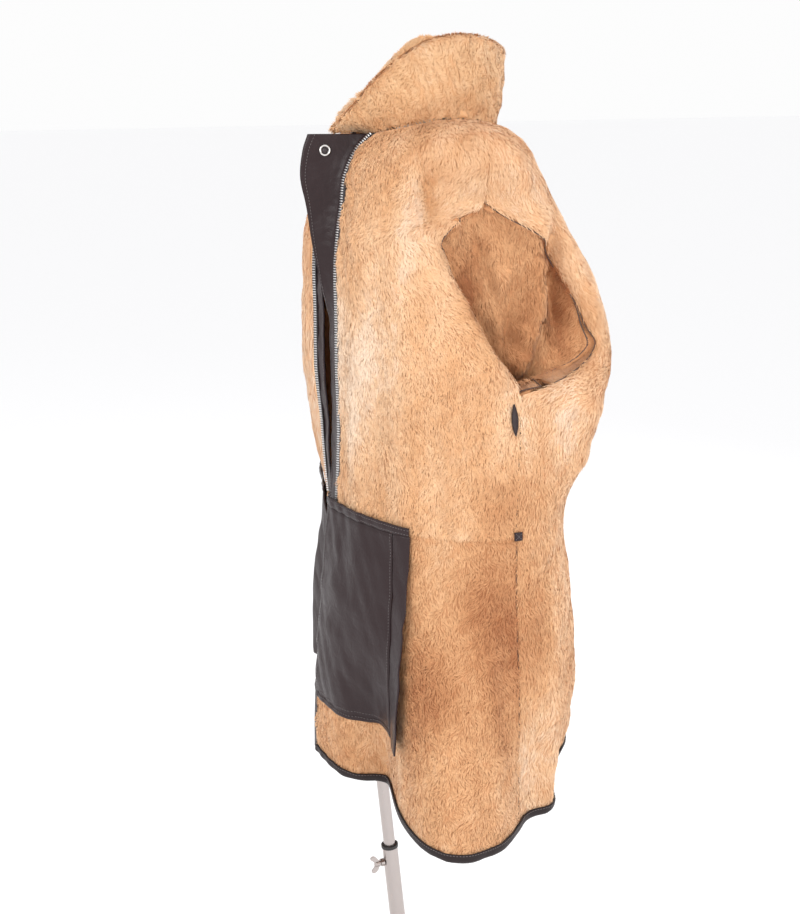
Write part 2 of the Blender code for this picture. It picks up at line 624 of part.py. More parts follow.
BINDING = 0.012
BINDING_WALL = 0.0018
BINDING_CLEAR = 0.0018


def build_hem_binding(hems, leather, parent):
    """A leather strip folded over the hem, from one front edge round the back to the other.

    It is made from the panels' own last two rows, moved out by the strip's clearance.
    """
    last, above, last_n, above_n = (np.concatenate([hem[k] for hem in hems]) for k in range(4))
    up = above - last
    length = np.linalg.norm(up, axis=1, keepdims=True)
    share = BINDING / length
    up /= length
    wide = BINDING_CLEAR + BINDING_WALL
    head = last + (above - last) * share
    head_back = (last - last_n * SHEARLING) + (above - last + (last_n - above_n) * SHEARLING) * share
    foot_back = last - last_n * SHEARLING
    near = np.stack([head + last_n * BINDING_CLEAR, last + (last_n - up) * BINDING_CLEAR,
                     foot_back - (last_n + up) * BINDING_CLEAR, head_back - last_n * BINDING_CLEAR])
    far = np.stack([head + last_n * wide, last + (last_n - up) * wide,
                    foot_back - (last_n + up) * wide, head_back - last_n * wide])
    wall("hem_binding", far, near, leather, parent)


def patch(name, side, angle, level, half_across, half_down, mat, parent, pointed=False):
    """A small piece sewn on the fur at one place: a square, or a pointed oval."""
    here = body(side, angle, level)
    across = body(side, angle + 0.5, level) - here
    down = body(side, angle, level + 0.02) - here
    across /= np.linalg.norm(across)
    down -= across * np.dot(across, down)
    down /= np.linalg.norm(down)
    n = np.cross(across, down)
    n *= np.sign(np.dot(n, here - np.array([0.0, 0.04, here[2]])))
    along = np.linspace(-1.0, 1.0, 9)
    width = (1.0 - 0.94 * along ** 2) if pointed else np.ones(9)
    edge = np.linspace(-1.0, 1.0, 4)
    grid = (here + n * 0.0016 + half_down * along[:, None, None] * down
            + half_across * width[:, None, None] * edge[None, :, None] * across)
    wall(name, grid + n * LEATHER, grid, mat, parent)


# ---------------------------------------------------------------- form and stand
TORSO = [
    # z      half_x half_front half_back
    (0.768, 0.140, 0.092, 0.100),
    (0.772, 0.148, 0.100, 0.108),
    (0.800, 0.156, 0.108, 0.120),
    (0.880, 0.158, 0.112, 0.128),
    (0.940, 0.146, 0.104, 0.112),
    (1.010, 0.124, 0.094, 0.090),
    (1.090, 0.128, 0.098, 0.092),
    (1.180, 0.128, 0.116, 0.100),
    (1.250, 0.130, 0.118, 0.108),
    (1.330, 0.136, 0.100, 0.112),
    (1.400, 0.142, 0.084, 0.100),
    (1.440, 0.136, 0.074, 0.086),
    (1.462, 0.116, 0.066, 0.074),
    (1.474, 0.090, 0.060, 0.070),
    (1.486, 0.062, 0.054, 0.058),
    (1.505, 0.054, 0.050, 0.050),
    (1.550, 0.052, 0.048, 0.048),
    (1.556, 0.046, 0.043, 0.043),
]
TORSO_Y = 0.030

LEAN = math.radians(6.0)                     # the pole leans towards -Y
POLE_AXIS = np.array([0.0, -math.sin(LEAN), math.cos(LEAN)])
BASE_RADIUS = 0.215
BASE_THICK = 0.012
LOWER_RADIUS = 0.0123
LOWER_BORE = 0.0100
LOWER_START = 0.050
LOWER_END = 0.374
MAST_RADIUS = 0.0093
MAST_BORE = 0.0078
MAST_START = 0.170
MAST_END = 0.850
SOCKET_RADIUS = 0.0100
SOCKET_END = 0.856
SCREW_ALONG = 0.350
SCREW_AXIS = np.array([0.0, -math.cos(LEAN), -math.sin(LEAN)])


def cut(part, cutter):
    """Take one solid out of another."""
    cutter.hide_render = True
    cutter.display_type = "WIRE"
    modifier = part.modifiers.new("cut", "BOOLEAN")
    modifier.operation = "DIFFERENCE"
    modifier.solver = "EXACT"
    modifier.object = cutter


def ellipse_ring(z, half_x, front, back, sides):
    turn = np.arange(sides) / sides * 2 * math.pi
    y = np.where(np.sin(turn) < 0.0, front, back) * np.sin(turn)
    return np.stack([half_x * np.cos(turn), TORSO_Y + y, np.full(sides, z)], axis=1)


def build_form(cloth, steel, parent):
    """The limbless form, with the socket that the mast turns in."""
    rings = [ellipse_ring(*row, 32) for row in TORSO]
    torso = loft("dress_form", rings, cloth, parent)
    hole = turned("socket_cutter", (0, 0, 0), POLE_AXIS,
                  [(SOCKET_END - 0.14, SOCKET_RADIUS), (SOCKET_END, SOCKET_RADIUS)], steel)
    cut(torso, hole)


def build_stand(steel, dark, parent):
    """The base plate, its hub, the lower tube with its bush and clamp nut."""
    turned("stand_base", (0, 0, 0), (0, 0, 1),
           [(0.0, BASE_RADIUS - 0.001), (0.002, BASE_RADIUS), (BASE_THICK - 0.003, BASE_RADIUS),
            (BASE_THICK, BASE_RADIUS - 0.004)], steel, parent, sides=64)
    first, second = frame_along(POLE_AXIS)
    circle_turn = np.arange(32) / 32 * 2 * math.pi
    circle = np.cos(circle_turn)[:, None] * first + np.sin(circle_turn)[:, None] * second
    rings = []
    for along, radius in ((0.0, 0.040), (0.020, 0.034), (0.040, 0.018), (LOWER_START - SEAM, 0.0165)):
        ring = POLE_AXIS * along + circle * radius
        rings.append(ring)
    rings[0][:, 2] = BASE_THICK + SEAM
    loft("base_hub", rings, steel, parent)
    lower = tube("pole_lower", (0, 0, 0), POLE_AXIS, LOWER_START, LOWER_END, LOWER_RADIUS,
                 LOWER_BORE, steel, parent)
    hole = turned("screw_cutter", POLE_AXIS * SCREW_ALONG, SCREW_AXIS,
                  [(0.0, 0.0036), (0.030, 0.0036)], steel, sides=16)
    cut(lower, hole)
    tube("pole_bush", (0, 0, 0), POLE_AXIS, LOWER_END + SEAM, LOWER_END + 0.005, LOWER_RADIUS + 0.0012,
         LOWER_BORE, dark, parent)
    tube("clamp_nut", POLE_AXIS * SCREW_ALONG, SCREW_AXIS, LOWER_RADIUS + SEAM, 0.0185, 0.0062,
         0.0036, steel, parent, sides=12)


WING_OUTLINE = [
    # along the screw, across it: one ear of the wing head, from the hub's foot to its notch
    (0.0200, 0.0032), (0.0215, 0.0060), (0.0240, 0.0105), (0.0275, 0.0138), (0.0315, 0.0146),
    (0.0345, 0.0128), (0.0345, 0.0100), (0.0315, 0.0070), (0.0290, 0.0035),
]


def build_screw(steel, parent):
    """The clamp's wing screw: a shank with two ears cut from plate, joined as one."""
    centre = POLE_AXIS * SCREW_ALONG
    screw = turned("clamp_screw", centre, SCREW_AXIS,
                   [(MAST_RADIUS + 0.0004, 0.0026), (0.0105, 0.0030), (0.0195, 0.0030),
                    (0.0200, 0.0045), (0.0265, 0.0045), (0.0285, 0.0030)], steel, parent, sides=16)
    ears = [(a, c) for a, c in WING_OUTLINE] + [(a, -c) for a, c in reversed(WING_OUTLINE)]
    side_way = np.array([1.0, 0.0, 0.0])
    rings = [[centre + SCREW_AXIS * a + POLE_AXIS * c + side_way * half for a, c in ears]
             for half in (-0.0016, 0.0016)]
    wings = loft("wing_union", rings, steel)
    wings.hide_render = True
    wings.display_type = "WIRE"
    union = screw.modifiers.new("ears", "BOOLEAN")
    union.operation = "UNION"
    union.solver = "EXACT"
    union.object = wings


# ---------------------------------------------------------------- snaps and slider
def build_hardware(metal, dark, parent):
    """The snap's socket on the turned corner, the studs on the far front, the zip's slider."""
    levels = np.array([0.98, 1.03])
    spot, n = band_grid("left", levels, 0.0125, 0.0115, 2)
    n = n[0, 0]
    turned("snap_socket", spot[0, 0] + n * (LAYER - BAND_DEPTH), n,
           [(0.0, 0.0072), (0.0016, 0.0078), (0.0026, 0.0066), (0.0022, 0.0040)], metal, parent)
    for number, level in enumerate((9.55, 10.35)):
        angle = float(angle_at_x("right", 0.018, level)[0])
        n = body_normal("right", angle, level)
        turned(f"snap_stud_{number + 1}", body("right", angle, level) + n * LAYER, n,
               [(0.0, 0.0060), (0.0030, 0.0060), (0.0034, 0.0030), (0.0065, 0.0028)], dark, parent)


def main():
    for old in list(bpy.data.objects):
        bpy.data.objects.remove(old)
    steel = material("brushed steel", (0.62, 0.58, 0.56), 0.28, 1.0)
    dark = material("black plastic", (0.02, 0.02, 0.02), 0.5)
    nickel = material("nickel", (0.72, 0.70, 0.68), 0.25, 1.0)
    linen = material("linen", (0.62, 0.57, 0.50), 0.9)
    fur = material("shearling", (0.80, 0.52, 0.30), 0.9)
    leather = material("leather", (0.055, 0.042, 0.048), 0.45)

    stand = bpy.data.objects.new("stand", None)
    mast = bpy.data.objects.new("mast_joint", None)
    form = bpy.data.objects.new("form_joint", None)
    for empty in (stand, mast, form):
        bpy.context.scene.collection.objects.link(empty)
    mast.parent = stand
    form.parent = mast
    mast.location = POLE_AXIS * LOWER_END
    form.location = POLE_AXIS * (SOCKET_END - LOWER_END)
    bpy.context.view_layer.update()

    build_stand(steel, dark, stand)
    build_screw(steel, stand)
    tube("mast", (0, 0, 0), POLE_AXIS, MAST_START, MAST_END, MAST_RADIUS, MAST_BORE, steel, mast)
    build_form(linen, steel, form)
    fronts = {side: build_fronts(side, fur, form) for side in ("left", "right")}
    back_borders, back_hem = build_back(fur, form)
    for side in ("left", "right"):
        build_sleeve(side, fronts[side][0], back_borders[side], fur, form)
        build_front_bands(side, leather, form)
        build_pocket(side, leather, form)
        patch(f"underarm_tab_{side}", side, -1.2, 7.45, 0.0045, 0.021, leather, form, pointed=True)
        patch(f"seam_stay_{side}", side, 1.0, 9.0, 0.0055, 0.0055, leather, form)
    build_collar(fur, form)
    right_hem = tuple(row[::-1] for row in fronts["right"][1])
    build_hem_binding([fronts["left"][1], back_hem, right_hem], leather, form)
    build_hardware(nickel, dark, form)


main()
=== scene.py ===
# %% [markdown]
# # A shearling coat shown fur side out on a dress form
# The real coat is sheepskin: leather on one side, curly pile on the other. It is worn
# inside out here, so the pile shows, with the zip, the pocket bags and the seams of its
# inside. Each skin is made as a thin closed wall, and its pile as thousands of small
# bent strands that stand on that wall, because only real strands catch the light and
# break up the outline as wool does.

# %% Load the frame
import json
import math

import bpy
import numpy as np
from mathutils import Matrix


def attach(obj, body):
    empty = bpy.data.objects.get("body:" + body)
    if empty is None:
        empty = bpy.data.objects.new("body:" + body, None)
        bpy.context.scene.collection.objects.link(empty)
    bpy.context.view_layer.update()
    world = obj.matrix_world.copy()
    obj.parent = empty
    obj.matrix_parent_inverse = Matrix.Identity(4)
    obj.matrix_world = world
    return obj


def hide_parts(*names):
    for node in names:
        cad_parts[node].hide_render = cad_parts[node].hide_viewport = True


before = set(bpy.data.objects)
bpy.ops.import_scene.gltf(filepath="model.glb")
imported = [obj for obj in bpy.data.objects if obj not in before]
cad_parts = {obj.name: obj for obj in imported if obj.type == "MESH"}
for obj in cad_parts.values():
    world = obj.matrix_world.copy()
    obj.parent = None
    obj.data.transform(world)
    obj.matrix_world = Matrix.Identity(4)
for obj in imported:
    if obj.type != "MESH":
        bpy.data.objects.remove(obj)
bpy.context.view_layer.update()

# %% [markdown]
# ## The camera
# It stands to the wearer's left and a little in front, at neck height, and looks down.
# The lens is fairly long, so the coat isn't stretched.

# %% The camera
CAMERA_TURN = math.radians(68.0)       # round from the front towards the wearer's left
CAMERA_PITCH = math.radians(15.0)
CAMERA_AWAY = 2.20
CAMERA_ASIDE = -0.02
CAMERA_HEIGHT = 1.60
camera_data = bpy.data.cameras.new("camera")
camera_data.lens = 60.0
camera_data.sensor_width = 36.0
camera = bpy.data.objects.new("camera", camera_data)
bpy.context.scene.collection.objects.link(camera)
camera.location = (
    math.sin(CAMERA_TURN) * CAMERA_AWAY + math.cos(CAMERA_TURN) * CAMERA_ASIDE,
    -math.cos(CAMERA_TURN) * CAMERA_AWAY + math.sin(CAMERA_TURN) * CAMERA_ASIDE,
    CAMERA_HEIGHT)
camera.rotation_euler = (math.pi / 2 - CAMERA_PITCH, 0.0, CAMERA_TURN)
bpy.context.scene.camera = camera
print("camera at", [round(c, 3) for c in camera.location])

# %% [markdown]
# ## Curves through a few rows
# A coat's surface changes slowly, so a few rows of sizes are enough if a smooth curve is
# drawn through them. Both helpers work on whole arrays.

# %% Smooth steps and curves
def smooth(value, low, high):
    """0 below low, 1 above high and 3t^2 - 2t^3 between them; low may be the larger."""
    t = np.clip((np.asarray(value, float) - low) / (high - low), 0.0, 1.0)
    return t * t * (3.0 - 2.0 * t)


def curve(knots, values, at):
    """Cubic through the rows of a table, with the slope at each row from its neighbours."""
    knots = np.asarray(knots, float)
    values = np.asarray(values, float)
    slopes = np.gradient(values, knots)
    at = np.clip(np.asarray(at, float), knots[0], knots[-1])
    row = np.clip(np.searchsorted(knots, at, side="right") - 1, 0, len(knots) - 2)
    step = knots[row + 1] - knots[row]
    t = (at - knots[row]) / step
    return ((1 + 2 * t) * (1 - t) ** 2 * values[row] + t * (1 - t) ** 2 * step * slopes[row]
            + t * t * (3 - 2 * t) * values[row + 1] + t * t * (t - 1) * step * slopes[row + 1])


def unit(v):
    """Vectors of length 1."""
    return v / np.maximum(np.linalg.norm(v, axis=-1, keepdims=True), 1e-12)

# %% [markdown]
# ## The coat's surface
# The body is a stack of rings from the neck seam to the hem. A place on it is an angle
# (-90 centre front, 0 side, 90 centre back) and a level, which is the number of the row.
# The last columns say how square the front and back halves of a ring are. These are the
# rows that the coat's solids were made from. The shoulder's hollow is up to 6 mm deeper
# here, and the collar starts 2 mm lower; the rest sits on the solids.

# %% Rings of the coat
SECTIONS = np.array([
    # z_front z_side z_back half_w y_mid front  back   sq_f sq_b
    (1.487, 1.508, 1.493, 0.092, 0.020, 0.106, 0.097, 2.0, 2.0),   # neck
    (1.464, 1.503, 1.476, 0.130, 0.022, 0.128, 0.110, 2.0, 2.1),   # neck slope
    (1.428, 1.486, 1.445, 0.172, 0.026, 0.148, 0.124, 2.0, 2.1),   # shoulder
    (1.388, 1.448, 1.400, 0.203, 0.032, 0.158, 0.131, 2.1, 2.2),   # shoulder roll
    (1.345, 1.388, 1.345, 0.214, 0.036, 0.168, 0.159, 2.2, 2.4),   # armhole top
    (1.295, 1.325, 1.290, 0.224, 0.038, 0.173, 0.195, 2.2, 2.6),   # armhole
    (1.235, 1.255, 1.232, 0.240, 0.039, 0.173, 0.214, 2.2, 2.8),   # armhole low
    (1.165, 1.165, 1.165, 0.262, 0.040, 0.174, 0.216, 2.2, 2.9),   # underarm
    (1.070, 1.070, 1.060, 0.266, 0.040, 0.172, 0.190, 2.2, 2.4),   # chest
    (0.962, 0.960, 0.962, 0.262, 0.040, 0.177, 0.150, 2.2, 2.3),   # waist
    (0.840, 0.838, 0.840, 0.268, 0.040, 0.188, 0.168, 2.2, 2.3),   # hip
    (0.720, 0.715, 0.720, 0.280, 0.040, 0.198, 0.180, 2.2, 2.2),   # thigh
    (0.630, 0.615, 0.630, 0.296, 0.040, 0.203, 0.182, 2.1, 2.1),   # knee
    (0.572, 0.538, 0.574, 0.306, 0.040, 0.204, 0.176, 2.0, 2.0),   # hem
])
FOLDS = [
    # side    angle  half_w   depth   z_none  z_full  z_keep  z_gone
    ("left",     0.0, 20.0,  -0.030,  1.460,  1.390,  1.230,  1.170),
    ("left",   -46.0, 11.0,  -0.058,  0.820,  0.560,  0.0,   -1.0),
    ("left",   -20.0, 13.0,   0.082,  0.900,  0.545,  0.0,   -1.0),
    ("left",     5.0,  7.0,  -0.028,  0.760,  0.560,  0.0,   -1.0),
    ("left",    30.0, 17.0,  -0.042,  0.720,  0.540,  0.0,   -1.0),
    ("left",    60.0, 12.0,   0.008,  0.900,  0.600,  0.0,   -1.0),
    ("left",    26.0,  9.0,   0.016,  1.180,  1.120,  1.060,  0.980),
    ("left",    52.0,  9.0,  -0.010,  1.150,  1.080,  1.020,  0.930),
    ("right",    0.0, 20.0,  -0.028,  1.455,  1.390,  1.230,  1.170),
    ("right",  -62.0, 24.0,   0.014,  1.440,  1.330,  1.160,  1.020),
    ("right",  -52.0, 30.0,  -0.044,  1.060,  0.880,  0.0,   -1.0),
    ("right",  -40.0, 11.0,  -0.020,  0.780,  0.560,  0.0,   -1.0),
    ("right",  -10.0, 14.0,   0.046,  0.880,  0.545,  0.0,   -1.0),
    ("right",   12.0,  6.0,  -0.024,  0.800,  0.560,  0.0,   -1.0),
    ("right",   34.0, 15.0,  -0.016,  0.760,  0.560,  0.0,   -1.0),
    ("right",   64.0, 13.0,   0.012,  0.880,  0.600,  0.0,   -1.0),
    ("right",   30.0, 10.0,   0.012,  1.180,  1.110,  1.050,  0.960),
]
SOFT_CREASES = [                        # shallower ones that only the pile shows
    # side    angle  half_w   depth   z_none  z_full  z_keep  z_gone
    ("left",   -62.0,  5.0,   0.004,  1.420,  1.340,  1.050,  0.960),
    ("left",   -48.0,  4.0,  -0.004,  1.380,  1.300,  1.100,  1.000),
    ("left",   -36.0,  5.0,   0.004,  1.300,  1.200,  1.000,  0.900),
    ("left",   -24.0,  3.5,  -0.003,  1.200,  1.120,  0.900,  0.800),
    ("left",    20.0,  3.0,  -0.006,  1.160,  1.110,  1.060,  1.000),
    ("left",    38.0,  3.5,  -0.007,  1.170,  1.120,  1.080,  1.010),
    ("left",    66.0,  4.0,   0.005,  1.300,  1.200,  1.050,  0.950),
    ("left",    -8.0,  3.0,   0.004,  0.900,  0.820,  0.0,   -1.0),
    ("left",    15.0,  4.0,   0.005,  0.860,  0.760,  0.0,   -1.0),
    ("right",  -50.0,  4.0,  -0.004,  1.360,  1.280,  1.080,  0.990),
    ("right",  -30.0,  5.0,   0.004,  1.290,  1.180,  0.990,  0.900),
    ("right",   22.0,  3.0,  -0.006,  1.160,  1.110,  1.060,  1.000),
    ("right",   42.0,  4.0,  -0.006,  1.180,  1.120,  1.070,  1.000),
    ("right",   72.0,  4.0,   0.005,  1.280,  1.180,  1.060,  0.960),
    ("right",    6.0,  3.5,   0.004,  0.900,  0.820,  0.0,   -1.0),
]
SHOULDER_HOLLOW = [                     # the cloth drops in behind the front's own edge
    # level  front   step   back    gone    depth
    (1.60,   -34.0,  14.0,   4.0,   30.0,   0.000),
    (2.30,   -35.0,   8.0,   4.0,   28.0,   0.012),
    (3.00,   -33.0,   6.0,   2.0,   26.0,   0.026),
    (3.70,   -31.0,   6.0,   0.0,   24.0,   0.028),
    (4.50,   -30.0,   7.0,   0.0,   24.0,   0.000),
    (5.00,   -30.0,   7.0,   0.0,   24.0,   0.000),
]
LEVELS = np.arange(len(SECTIONS))


def section(column, level):
    """One column of SECTIONS at any level."""
    return curve(LEVELS, SECTIONS[:, column], level)


def body(side, angle, level):
    """Points of the coat's outer surface, shape (..., 3).

    r = (|cos a / w|^p + |sin a / d|^p)^(-1/p), plus each fold's depth times a bell curve
    of the angle, less the hollow; z goes from the side's to the end's with sin^2 a.
    """
    angle, level = np.broadcast_arrays(np.asarray(angle, float), np.asarray(level, float))
    a = np.radians(angle)
    behind = smooth(angle, -20.0, 20.0)
    reach = np.where(angle < 0.0, section(5, level), section(6, level))
    power = section(7, level) * (1 - behind) + section(8, level) * behind
    flat_x = np.abs(np.cos(a) / section(3, level)) ** power
    flat_y = np.abs(np.sin(a) / reach) ** power
    r = (flat_x + flat_y) ** (-1.0 / power)
    ends = np.where(angle < 0.0, section(0, level), section(2, level))
    z = section(1, level) + (ends - section(1, level)) * np.sin(a) ** 2
    for where, middle, half_width, depth, z_none, z_full, z_keep, z_gone in FOLDS + SOFT_CREASES:
        if where == side:
            grown = smooth(z, z_none, z_full) * (1.0 - smooth(z, z_keep, z_gone))
            r = r + depth * grown * np.exp(-((angle - middle) / half_width) ** 2)
    knots = [row[0] for row in SHOULDER_HOLLOW]
    front, step, back, gone, depth = (
        curve(knots, [row[k] for row in SHOULDER_HOLLOW], level) for k in (1, 2, 3, 4, 5))
    inside = np.clip((angle - front) / step, 0.0, 1.0)
    r = r - depth * inside ** 2 * (3.0 - 2.0 * inside) * (
        1.0 - smooth((angle - back) / (gone - back), 0.0, 1.0))
    x = r * np.cos(a) * (1.0 if side == "left" else -1.0)
    return np.stack([x, section(4, level) + r * np.sin(a), z], axis=-1)


def body_normal(side, angle, level):
    """Unit outward normals, the cross product of the slopes along the angle and the level."""
    angle = np.asarray(angle, float)
    level = np.asarray(level, float)
    across = body(side, angle + 0.25, level) - body(side, angle - 0.25, level)
    down = body(side, angle, level + 0.02) - body(side, angle, level - 0.02)
    return unit(np.cross(down, across) if side == "left" else np.cross(across, down))


def angle_at_x(side, x, level):
    """The angle in front at which the surface is x metres from the middle plane."""
    trial = np.linspace(-90.0, -20.0, 141)
    level = np.atleast_1d(np.asarray(level, float))
    spread = np.abs(body(side, trial[None, :], level[:, None])[..., 0])
    return np.array([np.interp(x, row, trial) for row in spread])


print("neck to hem at the back:", round(float(SECTIONS[0, 2] - SECTIONS[-1, 2]), 3), "m")

# %% [markdown]
# ## Meshes from arrays
# Every new piece is a grid of points. The helper writes the arrays straight into a mesh,
# because that is many times faster than adding points one by one.

# %% Put arrays into a mesh
COAT_BODY = "form"                     # the body of the frame that the whole coat rides on


def add_piece(name, points, faces, material, uv=None, tone=None, shading=None,
              smooth_faces=True):
    """A mesh object from an array of points and a list of arrays of faces."""
    mesh = bpy.data.meshes.new(name)
    corners = np.concatenate([f.ravel() for f in faces]).astype(np.int32)
    sizes = np.concatenate([np.full(len(f), f.shape[1]) for f in faces])
    starts = np.concatenate([[0], np.cumsum(sizes)[:-1]]).astype(np.int32)
    mesh.vertices.add(len(points))
    mesh.vertices.foreach_set("co", points.astype(np.float32).ravel())
    mesh.loops.add(len(corners))
    mesh.loops.foreach_set("vertex_index", corners)
    mesh.polygons.add(len(starts))
    mesh.polygons.foreach_set("loop_start", starts)
    mesh.update(calc_edges=True)
    mesh.polygons.foreach_set("use_smooth", np.full(len(starts), smooth_faces))
    if uv is not None:
        layer = mesh.uv_layers.new(name="cloth")
        layer.data.foreach_set("uv", uv[corners].astype(np.float32).ravel())
    if tone is not None:
        shade = mesh.attributes.new("tone", "FLOAT", "POINT")
        shade.data.foreach_set("value", tone.astype(np.float32))
    if shading is not None:
        mesh.normals_split_custom_set_from_vertices(shading.astype(np.float32))
    mesh.materials.append(material)
    piece = bpy.data.objects.new(name, mesh)
    bpy.context.scene.collection.objects.link(piece)
    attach(piece, COAT_BODY)
    return piece


def quads(a, b, c, d):
    """Faces from four matching blocks of point numbers."""
    return np.stack([a.ravel(), b.ravel(), c.ravel(), d.ravel()], axis=1)


def cloth_uv(grid):
    """The grid's own lengths in metres: across the columns and down the rows."""
    across = np.linalg.norm(np.diff(grid, axis=1), axis=-1).mean(axis=0)
    down = np.linalg.norm(np.diff(grid, axis=0), axis=-1).mean(axis=1)
    u = np.concatenate([[0.0], np.cumsum(across)])
    v = -np.concatenate([[0.0], np.cumsum(down)])
    return np.stack(np.broadcast_arrays(u[None, :], v[:, None]), axis=-1)


def wall(name, face, back, material, closed=False, tone=None):
    """A closed sheet: a grid for its face, one for its back, and strips round the edges.

    The face's quads run with columns then rows when its normals point the way that
    cross(column step, row step) points, and the other way round when they don't.
    """
    rows, cols = face.shape[:2]
    number = np.arange(rows * cols).reshape(rows, cols)
    behind = number + rows * cols
    if closed:
        number = np.concatenate([number, number[:, :1]], axis=1)
        behind = np.concatenate([behind, behind[:, :1]], axis=1)
    way = np.cross(face[1:-1, 2:] - face[1:-1, :-2], face[2:, 1:-1] - face[:-2, 1:-1])
    forward = np.sum(way * (face - back)[1:-1, 1:-1]) > 0.0
    faces = [quads(number[:-1, :-1], number[:-1, 1:], number[1:, 1:], number[1:, :-1]),
             quads(behind[:-1, :-1], behind[1:, :-1], behind[1:, 1:], behind[:-1, 1:]),
             quads(number[0, :-1], behind[0, :-1], behind[0, 1:], number[0, 1:]),
             quads(number[-1, :-1], number[-1, 1:], behind[-1, 1:], behind[-1, :-1])]
    if not closed:
        faces.append(quads(number[:-1, 0], number[1:, 0], behind[1:, 0], behind[:-1, 0]))
        faces.append(quads(number[:-1, -1], behind[:-1, -1], behind[1:, -1], number[1:, -1]))
    if not forward:
        faces = [f[:, ::-1] for f in faces]
    uv = cloth_uv(face).reshape(-1, 2)
    shade = None if tone is None else np.tile(np.ravel(tone), 2)
    points = np.concatenate([face.reshape(-1, 3), back.reshape(-1, 3)])
    return add_piece(name, points, faces, material, uv=np.tile(uv, (2, 1)), tone=shade)


def halved(grid):
    """Every second row and column of a grid, and both its borders."""
    rows, cols = (np.unique(np.append(np.arange(0, count, 2), count - 1)) for count in grid.shape[:2])
    return grid[rows][:, cols]


CUTS = {}
LEAST_FILL = 0.32                       # a cut fills at least this share of its rectangle


def hung(piece, grid, closed=False, wrapped=0.0):
    """Works out a sheet's cut, the size of its grid laid flat, and notes the cut in CUTS.

    Width and length are the widest row and the longest column; the area is the sum of
    the cells, half of the cross products of their diagonals. A strip that is folded round
    an edge needs that much more width, wrapped. A fold can make one row far wider than
    the rest; the width is then kept to what the area fills by LEAST_FILL.
    """
    if closed:
        grid = np.concatenate([grid, grid[:, :1]], axis=1)
    width = float(np.linalg.norm(np.diff(grid, axis=1), axis=-1).sum(axis=1).max()) + wrapped
    length = float(np.linalg.norm(np.diff(grid, axis=0), axis=-1).sum(axis=0).max())
    diagonals = np.cross(grid[1:, 1:] - grid[:-1, :-1], grid[1:, :-1] - grid[:-1, 1:])
    area = float(np.linalg.norm(diagonals, axis=-1).sum() / 2) + wrapped * length
    width = min(width, area / (LEAST_FILL * length))
    CUTS[piece.name] = (round(width, 3), round(length, 3), round(area, 4))
    return piece


def grid_normals(grid, like, closed=False):
    """Unit normals of a grid of points, turned to the side that like points to."""
    down = np.gradient(grid, axis=0)
    if closed:
        across = np.roll(grid, -1, axis=1) - np.roll(grid, 1, axis=1)
    else:
        across = np.gradient(grid, axis=1)
    n = unit(np.cross(across, down))
    return n * np.where(np.sum(n * like, axis=-1, keepdims=True) < 0.0, -1.0, 1.0)


def waves(points, size, seed):
    """Smooth noise between about -1 and 1: nine sine waves of about this size, added up."""
    rng = np.random.default_rng(seed)
    ways = unit(rng.normal(size=(9, 3))) * (2 * math.pi / size) * rng.uniform(0.6, 1.5, (9, 1))
    return np.sin(points @ ways.T + rng.uniform(0.0, 2 * math.pi, 9)).sum(axis=-1) / 4.0

# %% [markdown]
# ## Wool
# Sheepskin pile is cream at its tips, honey in the middle and brown where it parts. Each strand carries a
# number, its tone, and the finish turns that into a colour. The tone also holds painted shade, brown in the
# creases and deep in the armholes, and painted highlight on the ridges and the chest, so these stay on the
# wool whatever the view.

# %% The finish of the pile
def new_material(name, colour, roughness, metallic=0.0):
    """A Principled material; returns it with its nodes, links and shader."""
    finish = bpy.data.materials.new(name)
    finish.use_nodes = True
    nodes = finish.node_tree.nodes
    shader = nodes["Principled BSDF"]
    shader.inputs["Base Color"].default_value = (*colour, 1.0)
    shader.inputs["Roughness"].default_value = roughness
    shader.inputs["Metallic"].default_value = metallic
    return finish, nodes, finish.node_tree.links, shader


WOOL_TONES = [                          # tone, then the colour it stands for
    (0.00, (0.430, 0.165, 0.068)),
    (0.25, (0.610, 0.290, 0.132)),
    (0.50, (0.770, 0.425, 0.215)),
    (0.75, (0.880, 0.565, 0.335)),
    (1.00, (0.950, 0.740, 0.560)),
]


def wool_material(name, tones):
    """Pile: the colour follows the strands' tone, and a fine speckle roughens the skin."""
    finish, nodes, links, shader = new_material(name, tones[2][1], 0.85)
    shader.inputs["Sheen Weight"].default_value = 0.25
    shader.inputs["Sheen Roughness"].default_value = 0.45
    shader.inputs["Sheen Tint"].default_value = (1.0, 0.86, 0.72, 1.0)
    shader.inputs["Specular IOR Level"].default_value = 0.25
    tone = nodes.new("ShaderNodeAttribute")
    tone.attribute_name = "tone"
    ramp = nodes.new("ShaderNodeValToRGB")
    while len(ramp.color_ramp.elements) < len(tones):
        ramp.color_ramp.elements.new(0.5)
    for element, (place, colour) in zip(ramp.color_ramp.elements, tones):
        element.position = place
        element.color = (*colour, 1.0)
    links.new(tone.outputs["Fac"], ramp.inputs["Fac"])
    links.new(ramp.outputs["Color"], shader.inputs["Base Color"])
    speckle = nodes.new("ShaderNodeTexNoise")
    speckle.inputs["Scale"].default_value = 420.0
    speckle.inputs["Detail"].default_value = 3.0
    place = nodes.new("ShaderNodeTexCoord")
    links.new(place.outputs["Object"], speckle.inputs["Vector"])
    bump = nodes.new("ShaderNodeBump")
    bump.inputs["Strength"].default_value = 0.4
    bump.inputs["Distance"].default_value = 0.0015
    links.new(speckle.outputs["Fac"], bump.inputs["Height"])
    links.new(bump.outputs["Normal"], shader.inputs["Normal"])
    return finish


wool = wool_material("wool", WOOL_TONES)
TEDDY_TINT = (0.95, 0.94, 0.90)         # the collar's dense wool is a shade deeper
teddy_wool = wool_material(
    "teddy_wool",
    [(tone, tuple(c * t for c, t in zip(colour, TEDDY_TINT))) for tone, colour in WOOL_TONES])

